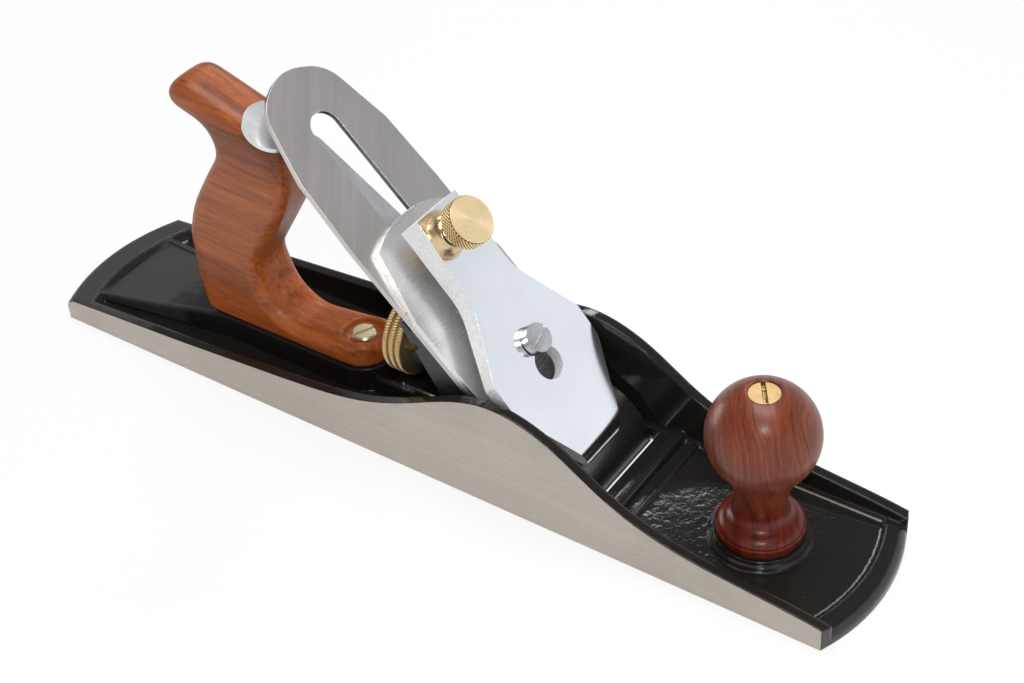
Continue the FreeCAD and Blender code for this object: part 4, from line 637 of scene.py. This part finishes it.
def turnedPiece(name, profile, centre, axis, surfaces, steps=128, pick=None):
    # Turns (radius, height) points round an axis; pick gives the number of a face's surface
    line = bpy.data.meshes.new(name)
    runs = [(number, number + 1) for number in range(len(profile) - 1)]
    line.from_pydata([(radius, 0, height) for radius, height in profile], runs, [])
    wanted = {"Points": len(profile), "Steps": steps, "Surface": surfaces[0]}
    piece = withTree(newObject(name, line), lathe, wanted)
    work = bmesh.new()
    work.from_mesh(piece.data)
    bmesh.ops.dissolve_degenerate(work, edges=work.edges, dist=meshLook["turnedSliver"])
    bmesh.ops.recalc_face_normals(work, faces=work.faces)
    for face in work.faces:
        face.smooth = True
        if pick is not None:
            face.material_index = pick(face.calc_center_median())
    work.to_mesh(piece.data)
    work.free()
    piece.data.set_sharp_from_angle(angle=math.radians(meshLook["turnedAngle"]))
    for surface in surfaces[1:]:
        piece.data.materials.append(surface)
    stoodUp(piece, centre, axis)
    return piece


def joined(name, pieces):
    # One object from several, with their materials kept
    mesh = bpy.data.meshes.new(name)
    work = bmesh.new()
    slots = []
    for piece in pieces:
        for surface in piece.data.materials:
            if surface not in slots:
                slots.append(surface)
        start = len(work.faces)
        work.from_mesh(piece.data)
        work.faces.ensure_lookup_table()
        for face in work.faces[start:]:
            face.material_index = slots.index(piece.data.materials[face.material_index])
    work.to_mesh(mesh)
    work.free()
    for surface in slots:
        mesh.materials.append(surface)
    for piece in pieces:
        bpy.data.objects.remove(piece)
    return newObject(name, mesh)


# Knurling: rows of four-sided teeth round a rim, every other row shifted by half a tooth
def knurlTree():
    tree, given = newTree("knurlRows", (
        ("Geometry", "Geometry"), ("Radius", "Float"), ("Columns", "Int"), ("Rows", "Int"),
        ("Row Step", "Float"), ("First Row", "Float"), ("Tooth Width", "Float"),
        ("Tooth Height", "Float"), ("Tooth Stretch", "Float"), ("Tooth Turn", "Float"),
        ("Surface", "Material"),
    ))
    total = mathNode(tree, "MULTIPLY", given["Columns"], given["Rows"])
    spots = addNode(tree, "GeometryNodeMeshLine", {"Count": total})
    number = addNode(tree, "GeometryNodeInputIndex").outputs[0]
    column = mathNode(tree, "DIVIDE", mathNode(tree, "ADD", number, 0.5), given["Columns"])
    row = mathNode(tree, "FLOOR", column)
    shift = mathNode(tree, "MULTIPLY", mathNode(tree, "MODULO", row, 2.0), 0.5)
    share = mathNode(tree, "DIVIDE", mathNode(tree, "ADD", number, shift), given["Columns"])
    x, y = circlePoint(tree, share, given["Radius"])
    z = mathNode(tree, "ADD", mathNode(tree, "MULTIPLY", row, given["Row Step"]),
                 given["First Row"])
    placed = addNode(tree, "GeometryNodeSetPosition", {
        "Geometry": spots.outputs[0], "Position": vectorOf(tree, x, y, z),
    })
    tooth = addNode(tree, "GeometryNodeMeshCone", {
        "Vertices": 4, "Radius Top": 0.0, "Radius Bottom": given["Tooth Width"],
        "Depth": given["Tooth Height"],
    }, fill_type="NONE")
    shaped = addNode(tree, "GeometryNodeTransform", {
        "Geometry": tooth.outputs[0], "Rotation": vectorOf(tree, z=given["Tooth Turn"]),
        "Scale": vectorOf(tree, given["Tooth Stretch"], 1.0, 1.0),
    })
    lying = addNode(tree, "GeometryNodeTransform", {
        "Geometry": shaped.outputs[0], "Rotation": (0, math.pi / 2, 0),
    })
    facing = addNode(tree, "FunctionNodeAlignRotationToVector", {"Vector": vectorOf(tree, x, y)},
                     axis="X", pivot_axis="Z")
    copies = addNode(tree, "GeometryNodeInstanceOnPoints", {
        "Points": placed.outputs[0], "Instance": lying.outputs[0], "Rotation": facing.outputs[0],
    })
    return endTree(tree, copies.outputs[0], given["Surface"])


knurls = knurlTree()


def knurledBand(name, look, radius, firstRow, centre, axis, surface):
    piece = newObject(name, bpy.data.meshes.new(name))
    withTree(piece, knurls, {
        "Radius": radius, "Columns": look["columns"], "Rows": look["rows"],
        "Row Step": look["rowStep"], "First Row": firstRow, "Tooth Width": look["toothWidth"],
        "Tooth Height": look["toothHeight"], "Tooth Stretch": look["toothStretch"],
        "Tooth Turn": look["toothTurn"], "Surface": surface,
    })
    piece.data.shade_flat()
    stoodUp(piece, centre, axis)
    return piece


# Casting: enamelled all over but for the ground sides and the sole
castingLook = {
    "edge": 0.7 * mm, "segments": 3, "sideFrom": 31.6 * mm, "soleTo": 0.6 * mm, "flatness": 0.85,
}


def makeCasting():
    look = castingLook
    piece = easedCopy("castBody", "body", materials["enamel"], look["edge"], look["segments"])

    def ground(face):
        side = abs(face.center.y) > look["sideFrom"] and abs(face.normal.y) > look["flatness"]
        sole = face.center.z < look["soleTo"] and face.normal.z < -look["flatness"]
        return side or sole

    secondSurface(piece, materials["iron"], ground)


# Front knob: ball, waist and bell foot as a chain of arcs, with two fine grooves in the foot
knobLook = {
    "axisX": 130.7 * mm, "ballZ": 51.1 * mm, "ballRadius": 19.5 * mm, "topZ": 69.6 * mm,
    "neckZ": 20.0 * mm, "neckRadius": 8.8 * mm, "footZ": 10.4 * mm, "footRadius": 15.6 * mm,
    "baseZ": 7.6 * mm, "wellRadius": 5.55 * mm, "wellFloor": 65.2 * mm, "boreRadius": 3.15 * mm,
    "ease": 0.25 * mm, "grooves": (11.9 * mm, 9.0 * mm), "grooveDepth": 0.3 * mm,
    "grooveWidth": 0.3 * mm, "arcSteps": (30, 12, 14, 40), "leastStep": 0.02 * mm,
}


def makeKnob():
    look = knobLook
    ball, neck, foot = look["ballRadius"], look["neckRadius"], look["footRadius"]
    ballZ, neckZ, footZ = look["ballZ"], look["neckZ"], look["footZ"]
    base, top, ease = look["baseZ"], look["topZ"], look["ease"]
    bore, wellRadius, wellFloor = look["boreRadius"], look["wellRadius"], look["wellFloor"]
    rise = ballZ - neckZ
    upper = (rise ** 2 - ball ** 2 + neck ** 2) / (2 * (ball - neck))
    lower = ((foot - neck) ** 2 + (neckZ - footZ) ** 2) / (4 * (foot - neck))
    ballStart = math.asin((top - ballZ) / ball)
    ballEnd = math.atan2(-rise, neck + upper)
    join = math.atan2(neckZ - footZ, neck + 2 * lower - foot)
    footEnd = math.asin((base - footZ) / lower)
    arcs = (
        (0, ballZ, ball, ballStart, ballEnd),
        (neck + upper, neckZ, upper, math.pi + ballEnd, math.pi),
        (neck + lower, neckZ, lower, math.pi, math.pi + join),
        (foot - lower, footZ, lower, join, footEnd),
    )
    skin = []
    for (centreR, centreZ, radius, first, last), count in zip(arcs, look["arcSteps"]):
        for step in range(count + 1):
            angle = first + (last - first) * step / count
            point = (centreR + radius * math.cos(angle), centreZ + radius * math.sin(angle))
            if not skin or math.dist(point, skin[-1]) > look["leastStep"]:
                skin.append(point)
    for level in look["grooves"]:
        skin = [(r - look["grooveDepth"] * math.exp(-((z - level) / look["grooveWidth"]) ** 2), z)
                for r, z in skin]
    well = [(bore, base), (bore, wellFloor), (wellRadius, wellFloor), (wellRadius, top - ease),
            (wellRadius + ease, top)]
    profile = well + skin + [(bore, base)]
    centre = Vector((look["axisX"], 0, 0))
    piece = turnedPiece("frontKnob", profile, centre, upright, [materials["knob"]])
    finishPiece(piece, "knob")


# Rear handle: the sawn and rounded blank, sanded all over and further at its horn
toteLook = {
    "flatAngle": 0.1, "voxel": 0.75 * mm, "strength": 0.5, "smoothing": 5,
    "hornFrom": 80.0 * mm, "hornFull": 95.0 * mm, "hornSmoothing": 110,
}


def makeTote():
    look = toteLook
    piece = mergedCopy("rearHandle", "tote", look["flatAngle"])
    remesh = piece.modifiers.new("evenSkin", "REMESH")
    remesh.mode = "VOXEL"
    remesh.voxel_size = look["voxel"]
    remesh.use_smooth_shade = True
    smooth = piece.modifiers.new("sanded", "SMOOTH")
    smooth.factor = look["strength"]
    smooth.iterations = look["smoothing"]
    bakedObject(piece)
    horn = piece.vertex_groups.new(name="horn")
    for vertex in piece.data.vertices:
        share = (vertex.co.z - look["hornFrom"]) / (look["hornFull"] - look["hornFrom"])
        horn.add([vertex.index], min(max(share, 0.0), 1.0), "REPLACE")
    rounded = piece.modifiers.new("roundedHorn", "SMOOTH")
    rounded.factor = look["strength"]
    rounded.iterations = look["hornSmoothing"]
    rounded.vertex_group = "horn"
    bakedObject(piece)
    piece.data.shade_smooth()
    dressed(piece, materials["tote"])
    finishPiece(piece, "tote")


# Thumb screw: plain stem, waisted neck and a flat-faced head with a diamond-knurled rim
thumbLook = {
    "along": 107.0 * mm, "stem": 4.0 * mm, "tip": 2.7 * mm, "collar": 5.3 * mm,
    "collarFrom": 19.6 * mm, "flare": 2.6 * mm, "flareCurve": 2.4, "flareSteps": 12,
    "head": 9.3 * mm, "headFrom": 24.5 * mm, "headTo": 30.6 * mm, "ease": 0.5 * mm,
    "rimCurve": ((0.0, 1.0), (0.3, 0.15), (1.0, 0.0)), "dish": 0.1 * mm,
    "dishCurve": ((0.9, 0.15), (0.5, 0.7), (0.0, 1.0)), "groundFrom": 0.4 * mm,
    "knurl": {"columns": 40, "rows": 8, "rowStep": 0.66 * mm, "toothWidth": 0.5 * mm,
              "toothHeight": 0.42 * mm, "toothStretch": 0.98, "toothTurn": 0.0,
              "sunk": 0.03 * mm},
}


def makeThumbScrew():
    look = thumbLook
    knurl = look["knurl"]
    core = look["head"] - knurl["toothHeight"]
    low, top, start, ease = look["headFrom"], look["headTo"], look["collarFrom"], look["ease"]
    profile = [(0, look["tip"]), (look["stem"] - ease, look["tip"]),
               (look["stem"], look["tip"] + ease), (look["stem"], start), (look["collar"], start)]
    for step in range(1, look["flareSteps"] + 1):
        share = step / look["flareSteps"]
        flare = look["flare"] * share ** look["flareCurve"]
        profile.append((look["collar"] + flare, start + (low - start) * share))
    profile += [(core - ease, low), (core, low + ease)]
    profile += [(core - ease * back, top - ease * down) for back, down in look["rimCurve"]]
    profile += [(core * out, top - look["dish"] * down) for out, down in look["dishCurve"]]
    centre = mouthPoint + upBed * look["along"]

    def pick(spot):
        # 1 is the flat face, 2 the ground between the teeth, dark brass as painted shade, and 0 the
        # rest
        if spot.z > top - ease / 2:
            return 1
        toothed = spot.z > low + look["groundFrom"] and spot.xy.length > core - ease / 2
        return 2 if toothed else 0

    surfaces = [materials["brassSide"], materials["brassFace"], materials["grooveShadeBrass"]]
    body = turnedPiece("thumbBody", profile, centre, offBed, surfaces, pick=pick)
    firstRow = low + (top - low - (knurl["rows"] - 1) * knurl["rowStep"]) / 2
    rim = knurledBand("thumbRim", knurl, core - knurl["sunk"], firstRow, centre, offBed,
                      materials["brassTooth"])
    finishPiece(joined("thumbScrewHead", [body, rim]), "thumb_screw")


# Depth wheel: three bands of rope knurl, a cone, a collar and the track for the yoke
wheelLook = {
    "backX": -17.4 * mm, "z": 35.0 * mm, "radius": 15.8 * mm, "bore": 3.66 * mm,
    "bands": 3, "width": 8.0 * mm, "groove": 0.8 * mm, "grooveDepth": 0.9 * mm,
    "edge": 0.3 * mm, "dish": 0.4 * mm, "dishShares": (0.55, 0.58, 0.86, 0.89),
    "cone": 3.0 * mm, "coneCurve": (0.8, 1.4), "coneSteps": 8, "hub": 8.5 * mm,
    "collar": 1.0 * mm, "track": 3.3 * mm, "trackRadius": 5.4 * mm, "flange": 2.2 * mm,
    "groundDepth": 1.08 * mm,
    "knurl": {"columns": 92, "rows": 1, "rowStep": 1.0 * mm, "toothWidth": 0.53 * mm,
              "toothHeight": 0.36 * mm, "toothStretch": 2.3, "toothTurn": 0.25,
              "sunk": 0.02 * mm},
}


def makeWheel():
    look = wheelLook
    knurl = look["knurl"]
    bore, hub, width = look["bore"], look["hub"], look["width"]
    edge, dish, groove = look["edge"], look["dish"], look["groove"]
    core = look["radius"] - knurl["toothHeight"]
    deep = core - look["grooveDepth"]
    rim = core - edge
    band = (width - (look["bands"] - 1) * groove) / look["bands"]
    centre = Vector((look["backX"], 0, look["z"]))
    inner, innerFloor, outerFloor, outer = (core * share for share in look["dishShares"])
    profile = [(bore, 0), (inner, 0), (innerFloor, dish), (outerFloor, dish), (outer, 0), (rim, 0)]
    middles = []
    for number in range(look["bands"]):
        start = number * (band + groove)
        middles.append(start + band / 2)
        profile += [(core, start + edge), (core, start + band - edge)]
        if number < look["bands"] - 1:
            profile += [(deep, start + band), (deep, start + band + groove)]
    profile.append((rim, width))
    inPower, upPower = look["coneCurve"]
    for step in range(1, look["coneSteps"] + 1):
        share = step / look["coneSteps"]
        profile.append((rim + (hub - rim) * share ** inPower,
                        width + look["cone"] * share ** upPower))
    trackAt = width + look["cone"] + look["collar"]
    flangeAt = trackAt + look["track"]
    end = flangeAt + look["flange"]
    profile += [(hub, trackAt), (look["trackRadius"], trackAt), (look["trackRadius"], flangeAt),
                (hub, flangeAt), (hub, end), (bore, end), (bore, 0)]

    def pick(spot):
        # 1 is the ground of the bands and their grooves, darker brass as painted shade between the
        # teeth, 0 the rest
        return 1 if spot.z < width and spot.xy.length > core - look["groundDepth"] else 0

    surfaces = [materials["brassSide"], materials["darkBrassAndKnurlShade"]]
    parts = [turnedPiece("wheelBody", profile, centre, lengthways, surfaces, pick=pick)]
    for number, middle in enumerate(middles):
        parts.append(knurledBand("wheelBand%d" % number, knurl, core - knurl["sunk"], middle,
                                 centre, lengthways, materials["brassTooth"]))
    finishPiece(joined("depthWheelBrass", parts), "depth_wheel")


# Stud behind the frog, ringed finely for its thread; crest and root are shares of the pitch
studLook = {
    "backX": -20.5 * mm, "frontX": 20.2 * mm, "z": 35.0 * mm, "radius": 3.6 * mm,
    "depth": 0.32 * mm, "pitch": 1.0 * mm, "crest": (0.45, 0.55), "root": 0.98, "steps": 32,
}


def makeStud():
    look = studLook
    length = look["frontX"] - look["backX"]
    inner = look["radius"] - look["depth"]
    ring = [(look["radius"], share) for share in look["crest"]] + [(inner, look["root"])]
    profile = [(0, 0), (inner, 0)]
    for number in range(int(length / look["pitch"])):
        profile += [(radius, (number + share) * look["pitch"]) for radius, share in ring]
    profile += [(inner, length), (0, length)]
    centre = Vector((look["backX"], 0, look["z"]))
    piece = turnedPiece("threadedStud", profile, centre, lengthways, [materials["screw"]],
                        look["steps"])
    finishPiece(piece, "adjuster_stud")


# Slotted iron: ground on its faces, with dark steel as painted shade on the walls inside the
# blanked slot
ironSlotLook = {"edge": 0.15 * mm, "halfWidth": 13.0 * mm, "flatness": 0.3}


def makeIron():
    look = ironSlotLook
    piece = easedCopy("slottedIron", "blade", materials["blade"], look["edge"])

    def slotWall(face):
        edgeways = abs(face.normal.dot(offBed)) < look["flatness"] < abs(face.normal.y)
        return edgeways and abs(face.center.y) < look["halfWidth"]

    # Painted shade: the slot walls take the dark steel
    secondSurface(piece, materials["dark"], slotWall)


# Lever cap: polished on its face and rougher on its sides
leverCapLook = {"edge": 0.35 * mm, "faceTilt": 0.45}


def makeLeverCap():
    look = leverCapLook
    piece = easedCopy("plateCap", "lever_cap", materials["capFace"], look["edge"])

    def side(face):
        return face.normal.dot(offBed) < look["faceTilt"]

    secondSurface(piece, materials["capSide"], side)


# Smaller pieces: slotTurn turns a screw's slot, in degrees, from where the source cuts it
easedPieces = {
    "chipbreaker": {"name": "capIron", "surface": "breaker", "edge": 0.15 * mm},
    "chipbreaker_screw": {"name": "capIronScrew", "surface": "screw", "edge": 0.15 * mm},
    "lever_cap_screw": {"name": "keyholeScrew", "surface": "screw", "edge": 0.3 * mm},
    "frog": {"name": "frogCasting", "surface": "frog", "edge": 0.25 * mm},
    "lateral_lever": {"name": "sideLever", "surface": "lever", "edge": 0.35 * mm},
    "lateral_pin": {"name": "sideLeverPin", "surface": "screw", "edge": 0.1 * mm},
    "lateral_disc": {"name": "sideLeverDisc", "surface": "screw", "edge": 0.15 * mm},
    "depth_yoke": {"name": "forkedYoke", "surface": "dark", "edge": 0.2 * mm},
    "yoke_pin": {"name": "yokeCrossPin", "surface": "screw", "edge": 0.1 * mm},
    "frog_screws": {"name": "frogSeatScrews", "surface": "screw", "edge": 0.2 * mm},
    "frog_washers": {"name": "frogSeatWashers", "surface": "screw", "edge": 0.1 * mm},
    "frog_adjusting_screw": {"name": "frogShiftScrew", "surface": "screw", "edge": 0.2 * mm},
    "frog_adjusting_plate": {"name": "frogShiftPlate", "surface": "screw", "edge": 0.15 * mm},
    "frog_plate_screw": {"name": "frogPlateScrew", "surface": "screw", "edge": 0.1 * mm},
    "knob_nut": {"name": "knobBrassNut", "surface": "darkBrassAndKnurlShade", "edge": 0.2 * mm,
                 "slotTurn": -55.5},
    "knob_rod": {"name": "knobSteelRod", "surface": "screw", "edge": 0.1 * mm},
    "tote_nut": {"name": "handleBrassNut", "surface": "paleBrass", "edge": 0.2 * mm},
    "tote_rod": {"name": "handleSteelRod", "surface": "screw", "edge": 0.1 * mm},
    "tote_toe_screw": {"name": "handleToeScrew", "surface": "paleBrass", "edge": 0.2 * mm,
                       "slotTurn": 42.0},
}

makeCasting()
print("casting dressed")
makeKnob()
makeTote()
print("wooden pieces made")
makeThumbScrew()
makeWheel()
makeStud()
print("brass pieces and stud made")
makeIron()
makeLeverCap()
for node, look in easedPieces.items():
    easedCopy(look["name"], node, materials[look["surface"]], look["edge"],
              slotTurn=look.get("slotTurn", 0.0))
print("small pieces dressed,", len(easedPieces))

# Floor: matte to the object, and glowing where the camera or a reflection sees it
floorLook = {"size": 6.0, "drop": 0.2 * mm, "colour": (0.86, 0.86, 0.86, 1), "glow": 0.82}


def makeFloor():
    look = floorLook
    mesh = bpy.data.meshes.new("studioFloor")
    size, low = look["size"], -look["drop"]
    corners = [(-size, -size, low), (size, -size, low), (size, size, low), (-size, size, low)]
    mesh.from_pydata(corners, [], [(0, 1, 2, 3)])
    floor = newObject("studioFloor", mesh)
    material = bpy.data.materials.new("floorWhite")
    material.use_nodes = True
    tree = material.node_tree
    tree.nodes.remove(tree.nodes["Principled BSDF"])
    path = addNode(tree, "ShaderNodeLightPath").outputs
    mirrored = mathNode(tree, "ADD", path["Is Glossy Ray"], path["Is Transmission Ray"])
    seen = mathNode(tree, "ADD", path["Is Camera Ray"], mirrored, clamp=True)
    share = mathNode(tree, "MULTIPLY", seen, look["glow"])
    matte = addNode(tree, "ShaderNodeBsdfDiffuse", {"Color": look["colour"]}).outputs[0]
    glow = addNode(tree, "ShaderNodeEmission", {"Color": (1, 1, 1, 1), "Strength": 1.0}).outputs[0]
    mixed = addNode(tree, "ShaderNodeMixShader", {0: share, 1: matte, 2: glow})
    tree.links.new(mixed.outputs[0], tree.nodes["Material Output"].inputs[0])
    mesh.materials.append(material)


# Surroundings: white to the camera, and to the object a bright sweep that dims behind the heel
worldLook = {
    "sweep": [(0.0, (1, 1, 1, 1)), (0.36, (0.92, 0.96, 1.0, 1)), (0.46, (0.52, 0.53, 0.55, 1)),
              (0.6, (0.14, 0.14, 0.145, 1)), (1.0, (0.2, 0.2, 0.205, 1))],
    "dimBetween": (-0.1, -0.55), "dim": 0.4, "strength": 1.0,
}


def makeWorld():
    look = worldLook
    world = bpy.data.worlds.new("whiteSweep")
    bpy.context.scene.world = world
    world.use_nodes = True
    tree = world.node_tree
    spot = axesOf(tree, addNode(tree, "ShaderNodeTexCoord").outputs["Generated"])
    seen = addNode(tree, "ShaderNodeLightPath").outputs["Is Camera Ray"]
    side = between(tree, spot[0], *look["dimBetween"])
    dim = remap(tree, side, result=(1.0, look["dim"]))
    sweep = mixColour(tree, 1.0, ramp(tree, spot[2], look["sweep"]), dim, "MULTIPLY")
    background = tree.nodes["Background"]
    tree.links.new(mixColour(tree, seen, sweep, (1, 1, 1, 1)), background.inputs["Color"])
    background.inputs["Strength"].default_value = look["strength"]


lamps = {
    "overheadSoftbox": {
        "place": (0.05, 0.1, 1.15), "target": (0, 0, 0), "size": (0.9, 0.7), "power": 10.0,
    },
    "cameraSoftbox": {
        "place": (0.50, -0.62, 0.95), "target": (0.02, 0, 0.03), "size": (0.2, 0.2), "power": 4.0,
    },
    "farSheet": {
        "place": (-0.40, 0.72, 0.72), "target": (0.1, 0, 0), "size": (0.36, 0.14), "power": 1.1,
    },
}


def makeLight(name, look):
    lamp = bpy.data.lights.new(name, "AREA")
    lamp.shape = "ELLIPSE"
    lamp.size, lamp.size_y = look["size"]
    lamp.energy = look["power"]
    holder = newObject(name, lamp)
    holder.location = look["place"]
    aim = Vector(look["target"]) - Vector(look["place"])
    holder.rotation_euler = aim.to_track_quat("-Z", "Y").to_euler()


# Camera at the photograph's angle: right, up and back are its own directions
cameraLook = {
    "eye": Vector((0.342854, -0.405770, 0.472783)),
    "right": Vector((0.8216, 0.5666, -0.0629)),
    "up": Vector((-0.3231, 0.5537, 0.7675)),
    "back": Vector((0.4697, -0.6102, 0.6380)),
    "lens": 66.30, "sensor": 36.0, "clipStart": 0.01,
}


def makeCamera():
    look = cameraLook
    camera = newObject("photoCamera", bpy.data.cameras.new("photoCamera"))
    turn = Matrix((look["right"], look["up"], look["back"])).transposed().to_4x4()
    camera.matrix_world = Matrix.Translation(look["eye"]) @ turn
    camera.data.lens = look["lens"]
    camera.data.sensor_width = look["sensor"]
    camera.data.clip_start = look["clipStart"]
    bpy.context.scene.camera = camera


makeFloor()
makeWorld()
for name, look in lamps.items():
    makeLight(name, look)
makeCamera()
bpy.context.scene.view_settings.view_transform = "Standard"
print("studio set")
